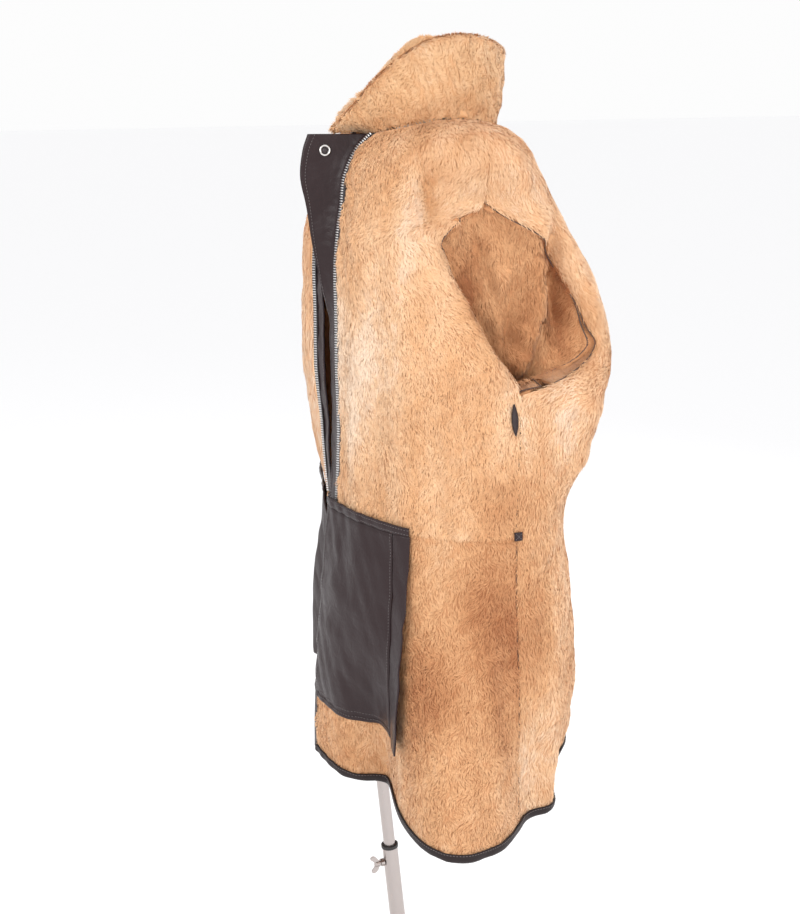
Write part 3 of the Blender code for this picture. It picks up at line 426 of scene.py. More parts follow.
# %% [markdown]
# ## Strands
# A strand is a bent, leaf-shaped pair of triangles: a root, two points at its widest and
# a tip. Thousands are laid at once. Each leans the way the pile is combed, turned a
# little by smooth noise, and neighbours are drawn together into locks. Near a seam they
# get shorter, so that the seam lies in a groove.

# %% Strands on a grid
PILE = 0.0028                           # depth of the strands' roots under the coat's outer surface
SKIN_DEPTH = 0.0016                     # the skin that shows between them lies higher
STREAK = 0.10                           # how far the streaks change the tone

KINDS = {
    # kind: length width rise swirl swirl_size lock clump
    "body": (0.0135, 0.0011, 0.34, 0.40, 0.050, 0.009, 0.12),
    "skirt": (0.0105, 0.0011, 0.42, 0.75, 0.030, 0.0065, 0.22),
    "collar": (0.0085, 0.0011, 0.52, 1.20, 0.018, 0.0055, 0.22),
    "arm": (0.0135, 0.0011, 0.34, 0.45, 0.032, 0.009, 0.16),
}


def dice(cells, seed):
    """A number from 0 to 1 for each cell of a 3-D grid, always the same for that cell."""
    mixed = np.sin(cells @ np.array([12.9898, 78.2330, 37.7190]) + seed) * 43758.5453
    return mixed - np.floor(mixed)


# Painted shade and painted highlight: broad places painted darker in the creases and hollows round the
# armholes and in the skirt's folds, and lighter on the ridges and the chest.
PAINTED_SHADE_AND_HIGHLIGHT_AREAS = [                          # broad places that are lighter or darker, on both sides
    # y       z      half y  half z  lighter by
    (-0.130,  1.170,  0.030,  0.130,   0.300),
    (-0.160,  1.360,  0.030,  0.080,  -0.060),
    (-0.060,  1.400,  0.012,  0.060,   0.120),
    (-0.036,  1.410,  0.014,  0.050,  -0.200),
    (0.006,   1.285,  0.020,  0.050,  -0.420),
    (0.055,   1.300,  0.016,  0.070,   0.140),
    (0.150,   1.240,  0.035,  0.060,  -0.160),
    (0.040,   0.800,  0.070,  0.130,  -0.420),
    (-0.100,  0.780,  0.050,  0.120,  -0.160),
    (0.030,   1.020,  0.080,  0.060,  -0.240),
    (0.130,   1.110,  0.050,  0.070,   0.100),
    (0.060,   0.610,  0.160,  0.050,   0.060),
    (0.110,   0.760,  0.018,  0.200,   0.120),
]


def pile_tone_and_painted_light(points, base_tone, streak, seed):
    """The pile's tone at each point: the base, long streaks from noise, and the broad areas of painted
    shade and painted highlight.
    """
    tone = base_tone + streak * (waves(points * np.array([1.0, 1.0, 0.30]), 0.060, seed % 7)
                                 + 0.5 * waves(points, 0.022, 5)
                                 + 0.8 * waves(points * np.array([1.0, 1.0, 0.45]), 0.170, 6))
    # a positive value adds painted highlight, a negative one adds painted shade
    for y, z, half_y, half_z, lighter in PAINTED_SHADE_AND_HIGHLIGHT_AREAS:
        off_y = (points[..., 1] - y) / half_y
        off_z = (points[..., 2] - z) / half_z
        tone = tone + lighter * np.exp(-off_y ** 2 - off_z ** 2)
    return tone


def shaded_skin_tone(points, base_tone, seed):
    """The skin between the strands is painted a little darker than their tips: painted shade of the pile's
    depth.
    """
    # base_tone - 0.08 is painted shade between the strands
    return np.clip(pile_tone_and_painted_light(points, base_tone - 0.08, STREAK, seed), 0.0, 1.0)


def strands(name, grid, n, count, kind, seed, material, base_tone=0.62, turn=0.0,
            edges=None, closed=False):
    """The pile of one piece, over a grid of surface points with its normals.

    root = surface - sink * normal, tip = root + length * (comb + rise * normal), and the
    widest point lies a little above the line between them, which bends the strand.
    """
    length, width, rise, swirl, swirl_size, lock, clump = KINDS[kind]
    rng = np.random.default_rng(seed)
    if closed:
        grid = np.concatenate([grid, grid[:, :1]], axis=1)
        n = np.concatenate([n, n[:, :1]], axis=1)
    step_across = grid[:-1, 1:] - grid[:-1, :-1]
    step_down = grid[1:, :-1] - grid[:-1, :-1]
    area = np.linalg.norm(np.cross(step_across, step_down), axis=-1)
    share = np.cumsum(area.ravel())
    cell = np.searchsorted(share, rng.uniform(0.0, share[-1], count))
    row, col = np.divmod(np.minimum(cell, area.size - 1), area.shape[1])
    s = rng.uniform(size=(count, 1))
    t = rng.uniform(size=(count, 1))

    def at(values):
        top = values[row, col] * (1 - s) + values[row, col + 1] * s
        foot = values[row + 1, col] * (1 - s) + values[row + 1, col + 1] * s
        return top * (1 - t) + foot * t

    here = at(grid)
    up = unit(at(n))
    comb = unit(step_down[row, col])
    comb = unit(comb - up * np.sum(comb * up, axis=1, keepdims=True))
    aside = np.cross(up, comb)
    sway = (turn + swirl * waves(here, swirl_size, seed + 1)
            + 0.5 * swirl * waves(here, swirl_size * 3.1, seed + 2)
            + rng.normal(0.0, 0.28, count))[:, None]
    lie = comb * np.cos(sway) + aside * np.sin(sway)

    long = length * rng.uniform(0.75, 1.15, (count, 1))
    kept = np.ones(count, bool)
    if edges:
        steps = np.linalg.norm(np.diff(grid, axis=1), axis=-1)
        across = np.concatenate([np.zeros((len(grid), 1)), np.cumsum(steps, axis=1)], axis=1)
        steps = np.linalg.norm(np.diff(grid, axis=0), axis=-1)
        down = np.concatenate([np.zeros((1, grid.shape[1])), np.cumsum(steps, axis=0)], axis=0)
        away = {"left": across, "right": across[:, -1:] - across, "top": down, "foot": down[-1:] - down}
        for edge, (bare, full) in edges.items():
            distance = at(away[edge][..., None])
            long = long * (0.45 + 0.55 * smooth(distance, bare, full))
            kept &= distance[:, 0] > bare
    root = here - up * PILE
    middle = root + up * (PILE + 0.0012) * 0.80 + lie * long * 0.38
    stand = PILE * 0.55 + long * rise * 0.45 * rng.uniform(0.5, 1.1, (count, 1))
    tip = root + lie * long + up * stand

    cells = np.floor(here / lock)
    jitter = np.stack([dice(cells, k) - 0.5 for k in (1, 2, 3)], axis=1)
    middle_of_lock = (cells + 0.5 + 0.35 * jitter * 2) * lock
    pull = middle_of_lock - here
    pull -= up * np.sum(pull * up, axis=1, keepdims=True)
    tip = tip + pull * clump
    middle = middle + pull * clump * 0.35

    blade = unit(np.cross(up, lie)) * width * rng.uniform(0.7, 1.2, (count, 1)) / 2
    blade = blade + up * width * 0.12 * rng.normal(size=(count, 1))
    points = np.stack([root, middle - blade, tip, middle + blade], axis=1)
    # the strands' tone holds the painted shade and painted highlight of the broad areas
    tone = (pile_tone_and_painted_light(here, base_tone, STREAK, seed) + 0.05 * (dice(cells, 9.0) - 0.5)
            + rng.normal(0.0, 0.030, count))
    tones = np.clip(tone[:, None] + np.array([-0.05, 0.00, 0.05, 0.00]), 0.0, 1.0)
    points, tones, up = points[kept], tones[kept], up[kept]
    lie, n_kept = lie[kept], kept.sum()
    first = np.arange(n_kept)[:, None] * 4
    faces = np.concatenate([first + np.array([0, 1, 3]), first + np.array([1, 2, 3])])
    facing = unit(up + lie * 0.22 + rng.normal(0.0, 0.09, (n_kept, 3)))
    here = here[kept]
    uv = np.repeat(np.stack([here[:, 0] + here[:, 1], here[:, 2]], axis=1), 4, axis=0)
    piece = add_piece(name, points.reshape(-1, 3), [faces], material, uv=uv,
                      tone=tones.ravel(), shading=np.repeat(facing, 4, axis=0))
    print(f"{name}: {n_kept} strands")
    return piece

# %% [markdown]
# ## The folds round the armholes
# The sleeves are pulled through to the inside, so each armhole is a deep hollow. Its cloth stands in a few
# big folds: a ridge from the shoulder down into the hollow, the trough in front of it, and a smaller one
# behind.

# %% Big folds round the armholes
ARM_FOLDS = [
    # side     y from  z from   y to    z to    radius  push out
    ("left",   0.066,  1.460,   0.092,  1.370,  0.022,   0.018),
    ("left",   0.092,  1.370,   0.101,  1.320,  0.021,   0.030),
    ("left",   0.101,  1.320,   0.100,  1.255,  0.021,   0.038),
    ("left",   0.100,  1.255,   0.075,  1.185,  0.020,   0.034),
    ("left",   0.060,  1.300,   0.056,  1.205,  0.012,   0.014),
    ("left",   0.032,  1.340,   0.074,  1.200,  0.011,  -0.010),
    ("left",  -0.030,  1.425,  -0.030,  1.385,  0.018,  -0.012),
    ("left",   0.134,  1.350,   0.146,  1.235,  0.015,  -0.018),
    ("left",   0.085,  1.158,   0.190,  1.205,  0.012,   0.010),
    ("right",  0.078,  1.460,   0.108,  1.320,  0.021,   0.010),
    ("right",  0.108,  1.320,   0.096,  1.230,  0.021,   0.030),
    ("right",  0.044,  1.325,   0.064,  1.220,  0.019,  -0.005),
    ("right",  0.142,  1.310,   0.152,  1.220,  0.016,  -0.010),
]
MIDDLE = np.array([0.0, 0.04, 0.0])     # the coat's upright middle line


def arm_folds(side, points):
    """Points pushed away from the coat's middle: push * exp(-(distance / radius)^2) a fold.

    The distance is to the fold's line, seen from the side.
    """
    out = unit((points - MIDDLE) * np.array([1.0, 0.3, 0.0]))
    raised = np.zeros(points.shape[:-1])
    sunk = np.zeros(points.shape[:-1])
    for where, y1, z1, y2, z2, radius, push in ARM_FOLDS:
        if where == side:
            dy, dz = y2 - y1, z2 - z1
            along = ((points[..., 1] - y1) * dy + (points[..., 2] - z1) * dz) / (dy * dy + dz * dz)
            along = np.clip(along, 0.0, 1.0)
            far = np.hypot(points[..., 1] - y1 - along * dy, points[..., 2] - z1 - along * dz)
            bell = push * np.exp(-(far / radius) ** 2)
            raised = np.maximum(raised, bell)
            sunk = np.minimum(sunk, bell)
    at_side = smooth(np.abs(points[..., 0]), 0.10, 0.14)
    unevenness = 0.0016 * waves(points, 0.07, 11) + 0.0010 * waves(points, 0.028, 12)
    return points + out * ((raised + sunk) * at_side + unevenness)[..., None]

# %% [markdown]
# ## The panels
# Front and back panels run over the coat's surface to the armhole's edge. There each one
# rolls inwards by a little more than a quarter turn, as thick sheepskin does. Below and
# above the armhole the roll dies away and the panels meet at the side seam.

# %% One half of a panel
ARMHOLE = [
    # level front_edge front_roll back_edge back_roll
    (0.00,   -2.0,      0.00,      14.0,     0.00),
    (3.00,   -4.0,      0.00,      14.0,     0.00),
    (3.70,  -18.0,      0.00,      18.0,     0.00),
    (4.10,  -31.0,      0.60,      27.0,     0.60),
    (4.50,  -29.0,      1.00,      34.0,     1.00),
    (5.20,  -23.0,      1.00,      38.0,     1.00),
    (6.00,  -14.0,      1.00,      42.0,     1.00),
    (6.50,   -8.0,      0.90,      44.0,     1.00),
    (6.80,   -5.0,      0.50,      36.0,     0.90),
    (7.20,   -6.0,      0.00,      12.0,     0.00),
    (7.60,   -6.0,      0.00,       8.0,     0.00),
    (13.0,   -6.0,      0.00,       8.0,     0.00),
]
ARM_TOP = 3.75
ARM_FOOT = 7.15
ROLL_REACH = 0.034
ROLL_TURN = math.radians(96.0)
SIDE_SEAM = 1.0                         # degrees behind the widest place
FRONT_STOP = -1.5                       # no edge comes nearer to the side seam than these
BACK_STOP = 6.0
SIDE_GAP = 0.0007
SEAM = 0.0003
SKIN = 0.010                            # hide with its pile pressed down
ZIP_LINE = 0.042
FRONT_EDGE = {"left": 0.004, "right": 0.010}
EDGE_BAND = {"left": 0.010, "right": 0.016}


def panel_half(side, half, levels, start, cols, roll_cols):
    """Points from the middle edge to the side edge, and on round the armhole's roll.

    The roll is an arc: turn + r * sin(b) * tangent - r * (1 - cos b) * outward, mixed
    with the flat surface by the row's roll.
    """
    sign = 1.0 if half == "front" else -1.0
    edge_column, roll_column = (1, 2) if half == "front" else (3, 4)
    knots = [row[0] for row in ARMHOLE]
    edge = curve(knots, [row[edge_column] for row in ARMHOLE], levels)
    edge = np.minimum(edge, FRONT_STOP) if half == "front" else np.maximum(edge, BACK_STOP)
    roll = np.clip(curve(knots, [row[roll_column] for row in ARMHOLE], levels), 0.0, 1.0)
    roll = roll * smooth(levels, ARM_TOP - 0.05, ARM_TOP + 0.25)
    roll = roll * (1.0 - smooth(levels, ARM_FOOT - 0.2, ARM_FOOT))
    angles = start[:, None] + (edge - start)[:, None] * np.linspace(0.0, 1.0, cols)
    flat = body(side, angles, levels[:, None])
    turn_at = flat[:, -1]
    outward = body_normal(side, edge, levels)
    tangent = body(side, edge + sign * 0.5, levels) - turn_at
    tangent = unit(tangent - outward * np.sum(tangent * outward, axis=1, keepdims=True))
    radius = ROLL_REACH / ROLL_TURN
    seam_angle = SIDE_SEAM - sign * np.degrees(SIDE_GAP / 2 / section(3, levels))
    step = np.linspace(0.0, 1.0, roll_cols + 1)[1:]
    b = (step * ROLL_TURN)[None, :, None]
    arc = (turn_at[:, None] + radius * np.sin(b) * tangent[:, None]
           - radius * (1 - np.cos(b)) * outward[:, None])
    straight = body(side, edge[:, None] + (seam_angle - edge)[:, None] * step, levels[:, None])
    rolled = straight + (arc - straight) * roll[:, None, None]
    return np.concatenate([flat, rolled], axis=1), roll


def rolled_normals(grid, roll_cols):
    """Normals that keep their side round the roll, where 'away from the middle' fails."""
    down = np.gradient(grid, axis=0)
    across = np.gradient(grid, axis=1)
    n = unit(np.cross(across, down))
    middle = n[:, : -roll_cols - 2]
    outward = unit((grid - MIDDLE) * np.array([1.0, 1.0, 0.0]))[:, : -roll_cols - 2]
    return n if np.sum(middle * outward) > 0.0 else -n


PILE_SEED = {"left": 1, "right": 2}     # added to each pair of pieces' own seed
ROLL_COLS = 12
SKIRT_ROLL_COLS = 6
FRONT_TONE = 0.60
SKIRT_TONE = 0.48
BACK_TONE = 0.66
# The sleeves and gussets are painted far darker than the rest: painted shade of the armhole's hollow.
SLEEVE_SHADED_TONE = 0.32
COLLAR_TONE = 0.66
print("the roll's radius is", round(ROLL_REACH / ROLL_TURN * 1000, 1), "mm")

# %% [markdown]
# ## The fronts
# Each front is a bodice and a skirt, joined at the waist seam. The bodice's pile is long
# and combed down. The skirt's is shorter and crimped.

# %% Bodice fronts and skirt fronts
WAIST_LEVEL = 9.0
LEVEL_HEIGHT = 0.12                     # metres from one level to the next about the waist
WAIST_SEAM = SEAM / LEVEL_HEIGHT
panels = {}
for side, density in (("left", 0.90), ("right", 0.35)):
    levels = np.linspace(0.0, WAIST_LEVEL - WAIST_SEAM, 190)
    start = angle_at_x(side, ZIP_LINE + SEAM, levels)
    grid, roll = panel_half(side, "front", levels, start, 64, ROLL_COLS)
    grid = arm_folds(side, grid)
    n = rolled_normals(grid, ROLL_COLS)
    shade = shaded_skin_tone(grid, FRONT_TONE, 21)
    name = f"front_upper_{side}"
    skin = wall(f"{name}_skin", halved(grid - n * SKIN_DEPTH), halved(grid - n * SKIN), wool,
                tone=halved(shade))
    pile = strands(f"{name}_pile", grid, n, int(62000 * density), "body", 20 + PILE_SEED[side],
                   wool, base_tone=FRONT_TONE,
                   edges={"right": (0.0, 0.002), "foot": (0.0, 0.007)})
    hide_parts(name)
    hung(skin, grid)
    panels[name] = (skin, pile, grid, n)

    levels = np.linspace(WAIST_LEVEL, 13.0, 110)
    start = angle_at_x(side, FRONT_EDGE[side] + EDGE_BAND[side] + SEAM, levels)
    grid, _ = panel_half(side, "front", levels, start, 70, SKIRT_ROLL_COLS)
    grid = arm_folds(side, grid)
    n = rolled_normals(grid, SKIRT_ROLL_COLS)
    shade = shaded_skin_tone(grid, SKIRT_TONE, 31)
    name = f"front_skirt_{side}"
    skin = wall(f"{name}_skin", halved(grid - n * SKIN_DEPTH), halved(grid - n * SKIN), wool,
                tone=halved(shade))
    pile = strands(f"{name}_pile", grid, n, int(52000 * density), "skirt", 30 + PILE_SEED[side],
                   wool, base_tone=SKIRT_TONE,
                   edges={"right": (0.0, 0.002), "top": (0.0, 0.006), "foot": (0.0045, 0.010)})
    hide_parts(name)
    hung(skin, grid)
    panels[name] = (skin, pile, grid, n)

# %% [markdown]
# ## The back
# The back is one skin from neck to hem. Its pile is laid in two halves, so that neither
# mesh gets too heavy.

# %% The back
levels = np.linspace(0.0, 13.0, 280)
middle_back = np.full(len(levels), 90.0)
halves = {side: arm_folds(side, panel_half(side, "back", levels, middle_back, 72, ROLL_COLS)[0])
          for side in ("left", "right")}
half_n = {side: rolled_normals(half, ROLL_COLS) for side, half in halves.items()}
grid = np.concatenate([halves["left"][:, ::-1], halves["right"][:, 1:]], axis=1)
n = np.concatenate([half_n["left"][:, ::-1], half_n["right"][:, 1:]], axis=1)
shade = shaded_skin_tone(grid, BACK_TONE, 41)
back_skin = wall("back_skin", halved(grid - n * SKIN_DEPTH), halved(grid - n * SKIN), wool,
                 tone=halved(shade))
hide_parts("back")
back_piles = []
for side, count in (("left", 68000), ("right", 36000)):
    back_piles.append(strands(f"back_pile_{side}", halves[side], half_n[side], count, "body",
                              40 + PILE_SEED[side], wool, base_tone=BACK_TONE,
                              edges={"right": (0.0, 0.002), "foot": (0.0045, 0.010)}))
hung(back_skin, grid)
panels["back"] = (back_skin, back_piles, grid, n)

# %% [markdown]
# ## The sleeves
# A sleeve starts at the armhole's edge and settles, ring by ring, from the armhole's
# outline to a flat tube that hangs inside the coat. Its pile faces the hollow. The
# gusset is a wedge of the same surface under the arm.

# %% Sleeves and gussets
SLEEVE = [
    # across along down  x_mid  y_mid  z_mid  half_x half_y
    (0.00,   0.00, 0.00, 0.166, 0.040, 1.215, 0.008, 0.050),
    (0.30,   0.02, 0.00, 0.168, 0.040, 1.200, 0.012, 0.050),
    (0.55,   0.12, 0.12, 0.171, 0.040, 1.180, 0.018, 0.050),
    (0.78,   0.42, 0.36, 0.178, 0.038, 1.150, 0.022, 0.052),
    (0.93,   0.76, 0.68, 0.188, 0.034, 1.110, 0.023, 0.054),
    (1.00,   1.00, 1.00, 0.197, 0.030, 1.050, 0.023, 0.054),
    (1.00,   1.00, 1.00, 0.203, 0.028, 0.960, 0.022, 0.054),
    (1.00,   1.00, 1.00, 0.206, 0.030, 0.850, 0.022, 0.052),
    (1.00,   1.00, 1.00, 0.210, 0.030, 0.740, 0.021, 0.050),
]
GUSSET = [
    # level  rings it reaches into the sleeve
    (5.50,   0.20),
    (6.00,   0.90),
    (6.40,   1.60),
    (6.70,   2.20),
    (6.95,   2.50),
]
SLEEVE_WALL = 0.007
SLEEVE_GAP = 0.0020
WEDGE_GAP = 0.03                        # in rings, between the gusset and the sleeve
SEEN_SHARE = 0.62                       # the pile is laid this far down the sleeve


def along_rings(rings, place):
    """Points part-way along the sleeve: place counts rings, one value for each column."""
    low = np.clip(np.floor(place).astype(int), 0, len(rings) - 2)
    column = np.arange(rings.shape[1])[None, :]
    share = (place - low)[..., None]
    return rings[low, column] * (1.0 - share) + rings[low + 1, column] * share


def sleeve_rings(side, rows):
    """Rings of the sleeve's pile side, and each column's level on the back (0 in front)."""
    mirror = np.array([1.0 if side == "left" else -1.0, 1.0, 1.0])
    levels = np.linspace(ARM_TOP, ARM_FOOT, 84)
    borders = {}
    for half in ("front", "back"):
        start = np.full(len(levels), -60.0 if half == "front" else 90.0)
        flat, roll = panel_half(side, half, levels, start, 30, 8)
        borders[half] = (flat[:, -1] * mirror, flat[:, -2] * mirror, roll)
    edge, before, roll = (np.concatenate([front, back[-2:0:-1]])
                          for front, back in zip(borders["front"], borders["back"]))
    roll = roll[:, None]
    front_count, count = len(levels), len(edge)
    turn = np.concatenate([np.linspace(0.0, math.pi, front_count),
                           np.linspace(math.pi, 2 * math.pi, count - front_count + 2)[1:-1]])
    outward = unit((edge - MIDDLE) * np.array([1.0, 1.0, 0.0]))
    first = edge + unit(edge - before) * SLEEVE_GAP * smooth(roll, 0.1, 0.8)
    first = first - outward * (SKIN * 0.9) * (1.0 - smooth(roll, 0.1, 0.8))
    knots = np.arange(len(SLEEVE))
    at = np.linspace(0.0, len(SLEEVE) - 1.0, rows)
    across, along, down, x_mid, y_mid, z_mid, half_x, half_y = (
        curve(knots, [row[k] for row in SLEEVE], at)[:, None] for k in range(8))
    ring = np.stack(np.broadcast_arrays(
        x_mid - half_x * np.cos(turn), y_mid - half_y * np.sin(turn), z_mid), axis=-1)
    share = np.clip(np.stack([across, along, down], axis=-1), 0.0, 1.0)
    rings = first[None] + (ring - first[None]) * share
    column_level = np.concatenate([np.zeros(front_count), levels[-2:0:-1]])
    return rings * mirror, column_level


sleeves = {}
for side, count in (("left", 25000), ("right", 10000)):
    rows = 90
    rings, column_level = sleeve_rings(side, rows)
    per_ring = (rows - 1.0) / (len(SLEEVE) - 1.0)
    grid = arm_folds(side, rings)
    toward = np.mean(grid, axis=1, keepdims=True) - grid
    down = np.gradient(grid, axis=0)
    across = np.roll(grid, -1, axis=1) - np.roll(grid, 1, axis=1)
    n = unit(np.cross(across, down))
    deep = slice(int(rows * 0.6), None)
    n = n if np.sum(n[deep] * toward[deep]) > 0.0 else -n
    wedge_levels, wedge_reach = zip(*GUSSET)
    reach = np.interp(column_level, wedge_levels, wedge_reach, left=0.0, right=0.0)
    inside = np.flatnonzero((column_level >= wedge_levels[0]) & (column_level <= wedge_levels[-1]))
    first = np.where(reach > 0.0, (reach + WEDGE_GAP) * per_ring, 0.0)[None, :]
    place = first + (rows - 1.0 - first) * np.linspace(0.0, 1.0, rows)[:, None]
    sleeve_face, sleeve_n = along_rings(grid, place), unit(along_rings(n, place))
    shade = shaded_skin_tone(sleeve_face, SLEEVE_SHADED_TONE, 51)
    skin = wall(f"sleeve_{side}_skin", halved(sleeve_face - sleeve_n * SKIN_DEPTH),
                halved(sleeve_face - sleeve_n * SLEEVE_WALL), wool, closed=True,
                tone=halved(shade))
    seen = slice(0, int(rows * SEEN_SHARE))
    pile = strands(f"sleeve_{side}_pile", sleeve_face[seen], sleeve_n[seen], count, "arm",
                   50 + PILE_SEED[side], wool, base_tone=SLEEVE_SHADED_TONE, turn=0.25,
                   edges={"top": (0.0, 0.006)}, closed=True)
    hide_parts(f"sleeve_{side}")
    hung(skin, sleeve_face, closed=True)
    sleeves[side] = (skin, pile, sleeve_face, sleeve_n)
    wedge_place = (reach * per_ring)[None, :] * np.linspace(0.0, 1.0, 24)[:, None]
    wedge = along_rings(grid, wedge_place)[:, inside]
    wedge_n = unit(along_rings(n, wedge_place)[:, inside])
    shade = shaded_skin_tone(wedge, SLEEVE_SHADED_TONE, 55)
    gusset_skin = wall(f"gusset_{side}_skin", wedge - wedge_n * SKIN_DEPTH, wedge - wedge_n * SLEEVE_WALL,
                       wool, tone=shade)
    gusset_pile = strands(f"gusset_{side}_pile", wedge, wedge_n, 2500, "arm", 54 + PILE_SEED[side],
                          wool, base_tone=SLEEVE_SHADED_TONE,
                          edges={"top": (0.0, 0.005), "foot": (0.0, 0.005)})
    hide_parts(f"gusset_{side}")
    hung(gusset_skin, wedge, wrapped=2 * SLEEVE_WALL)
    panels[f"gusset_{side}"] = (gusset_skin, gusset_pile, wedge, wedge_n)
print("sleeve rings:", rings.shape)

# %% [markdown]
# ## The collar
# A standing collar of dense, teddy-like wool. Its outline is carried round the neck
# seam: out from the foot, up the outside, round the top edge and down the inside.

# %% The collar
COLLAR = [
    # angle   rise    lean   thick
    (-86.0,   0.012,  0.034, 0.014),
    (-70.0,   0.048,  0.026, 0.017),
    (-50.0,   0.082,  0.020, 0.020),
    (-30.0,   0.101,  0.013, 0.021),
    (0.0,     0.109,  0.010, 0.021),
    (50.0,    0.108,  0.011, 0.021),
    (90.0,    0.102,  0.013, 0.021),
]
COLLAR_RISE = 0.002
FAR_COLLAR_DROP = 0.62


def collar_grid(per_side, around):
    """The collar's surface: rows go round its outline and columns round the neck."""
    knots = [row[0] for row in COLLAR]
    left = np.linspace(COLLAR[0][0], 90.0, per_side)
    angle = np.concatenate([left, left[-2::-1]])
    on_right = np.arange(len(angle)) >= per_side
    rise, lean, thick = (curve(knots, [row[k] for row in COLLAR], angle) for k in (1, 2, 3))
    rise = np.where(on_right, rise * (1.0 - FAR_COLLAR_DROP * smooth(-angle, -25.0, 50.0)), rise)
    foot = np.where(on_right[:, None], body("right", angle, 0.0), body("left", angle, 0.0))
    foot = foot + np.array([0.0, 0.0, COLLAR_RISE])
    out = unit(foot * np.array([1.0, 1.0, 0.0]) - np.array([0.0, 0.02, 0.0]))
    up = np.array([0.0, 0.0, 1.0])
    rise, lean, thick = (values[:, None] for values in (rise, lean, thick))
    half = thick / 2.0
    straight = rise - half
    profile = [foot, foot + out * (lean * 0.35 + 0.004) + up * straight * 0.35,
               foot + out * (lean * 0.75 + 0.002) + up * straight * 0.75]
    centre = foot + out * (lean - half) + up * straight
    for bend in np.radians([0.0, 45.0, 90.0, 135.0, 180.0]):
        profile.append(centre + out * half * math.cos(bend) + up * half * math.sin(bend))
    profile.append(foot - out * (thick - lean * 0.4) + up * straight * 0.4)
    profile.append(foot - out * thick)
    profile = np.stack(profile)
    place = np.linspace(0.0, len(profile) - 1.0, around)
    knots = np.arange(len(profile))
    low = np.clip(np.floor(place).astype(int), 0, len(profile) - 2)
    slopes = np.gradient(profile, knots, axis=0)
    t = (place - low)[:, None, None]
    smooth_profile = ((1 + 2 * t) * (1 - t) ** 2 * profile[low] + t * (1 - t) ** 2 * slopes[low]
                      + t * t * (3 - 2 * t) * profile[low + 1] + t * t * (t - 1) * slopes[low + 1])
    lumps = 0.0022 * waves(smooth_profile, 0.055, 14) + 0.0012 * waves(smooth_profile, 0.022, 15)
    return smooth_profile + out[None] * lumps[..., None]


collar = collar_grid(84, 60)
core = collar.mean(axis=0, keepdims=True)
collar_n = grid_normals(collar, collar - core)
inner = collar - collar_n * SKIN_DEPTH
rows, cols = inner.shape[:2]
number = np.arange(rows * cols).reshape(rows, cols)
around = np.concatenate([number, number[:1]], axis=0)
faces = [quads(around[:-1, :-1], around[1:, :-1], around[1:, 1:], around[:-1, 1:])]
half_rows = rows // 2
for end in (0, -1):
    edge = number[:, end]
    near, far = edge[:half_rows], edge[::-1][:half_rows]
    faces.append(quads(near[:-1], near[1:], far[1:], far[:-1])[:, :: 1 if end == 0 else -1])
way = np.cross(inner[1:-1, 1:-1] - inner[:-2, 1:-1], inner[1:-1, 2:] - inner[1:-1, 1:-1])
if np.sum(way * collar_n[1:-1, 1:-1]) < 0.0:
    faces = [f[:, ::-1] for f in faces]
shade = shaded_skin_tone(inner, COLLAR_TONE, 61)
collar_skin = add_piece("collar_skin", inner.reshape(-1, 3), faces, teddy_wool,
                        uv=cloth_uv(collar).reshape(-1, 2), tone=shade.ravel())
collar_pile = strands("collar_pile", collar, collar_n, 48000, "collar", 61, teddy_wool,
                      base_tone=COLLAR_TONE, turn=math.pi)
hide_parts("collar")
hung(collar_skin, collar[: len(collar) // 2 + 1])

# %% [markdown]
# ## Leather
# The bands, the pocket bags and the hem's binding are thin, dark nappa. It is nearly
# black, with a soft sheen, a fine grain and small wrinkles.

# %% The finish of the leather and of the metal
def leather_material(name, colour, roughness, wrinkle):
    """Leather: a fine cell grain and long wrinkles as bump, on Object coordinates."""
    finish, nodes, links, shader = new_material(name, colour, roughness)
    shader.inputs["Specular IOR Level"].default_value = 0.28
    shader.inputs["Sheen Weight"].default_value = 0.03
    shader.inputs["Sheen Roughness"].default_value = 0.4
    place = nodes.new("ShaderNodeTexCoord")
    grain = nodes.new("ShaderNodeTexVoronoi")
    grain.inputs["Scale"].default_value = 780.0
    creases = nodes.new("ShaderNodeTexNoise")
    creases.inputs["Scale"].default_value = 46.0
    creases.inputs["Detail"].default_value = 5.0
    creases.inputs["Distortion"].default_value = 1.4
    fine = nodes.new("ShaderNodeBump")
    fine.inputs["Strength"].default_value = 0.30
    fine.inputs["Distance"].default_value = 0.0005
    wide = nodes.new("ShaderNodeBump")
    wide.inputs["Strength"].default_value = wrinkle
    wide.inputs["Distance"].default_value = 0.0030
    worn = nodes.new("ShaderNodeMapRange")
    worn.inputs["To Min"].default_value = roughness - 0.10
    worn.inputs["To Max"].default_value = roughness + 0.12
    for texture in (grain, creases):
        links.new(place.outputs["Object"], texture.inputs["Vector"])
    links.new(grain.outputs["Distance"], fine.inputs["Height"])
    links.new(creases.outputs["Fac"], wide.inputs["Height"])
    links.new(fine.outputs["Normal"], wide.inputs["Normal"])
    links.new(wide.outputs["Normal"], shader.inputs["Normal"])
    links.new(creases.outputs["Fac"], worn.inputs["Value"])
    links.new(worn.outputs["Result"], shader.inputs["Roughness"])
    return finish


nappa = leather_material("nappa", (0.025, 0.013, 0.014), 0.34, 0.30)
binding_leather = leather_material("binding_leather", (0.016, 0.009, 0.009), 0.50, 0.30)
tape_cloth = new_material("tape_cloth", (0.035, 0.030, 0.033), 0.85)[0]
thread = new_material("thread", (0.120, 0.100, 0.100), 0.55)[0]
seam_thread = new_material("seam_thread", (0.130, 0.080, 0.060), 0.80)[0]
zip_metal = new_material("zip_metal", (0.90, 0.89, 0.88), 0.30, 0.9)[0]
snap_metal = new_material("snap_metal", (0.80, 0.77, 0.74), 0.20, 1.0)[0]
dark_metal = new_material("dark_metal", (0.060, 0.050, 0.052), 0.40, 0.6)[0]


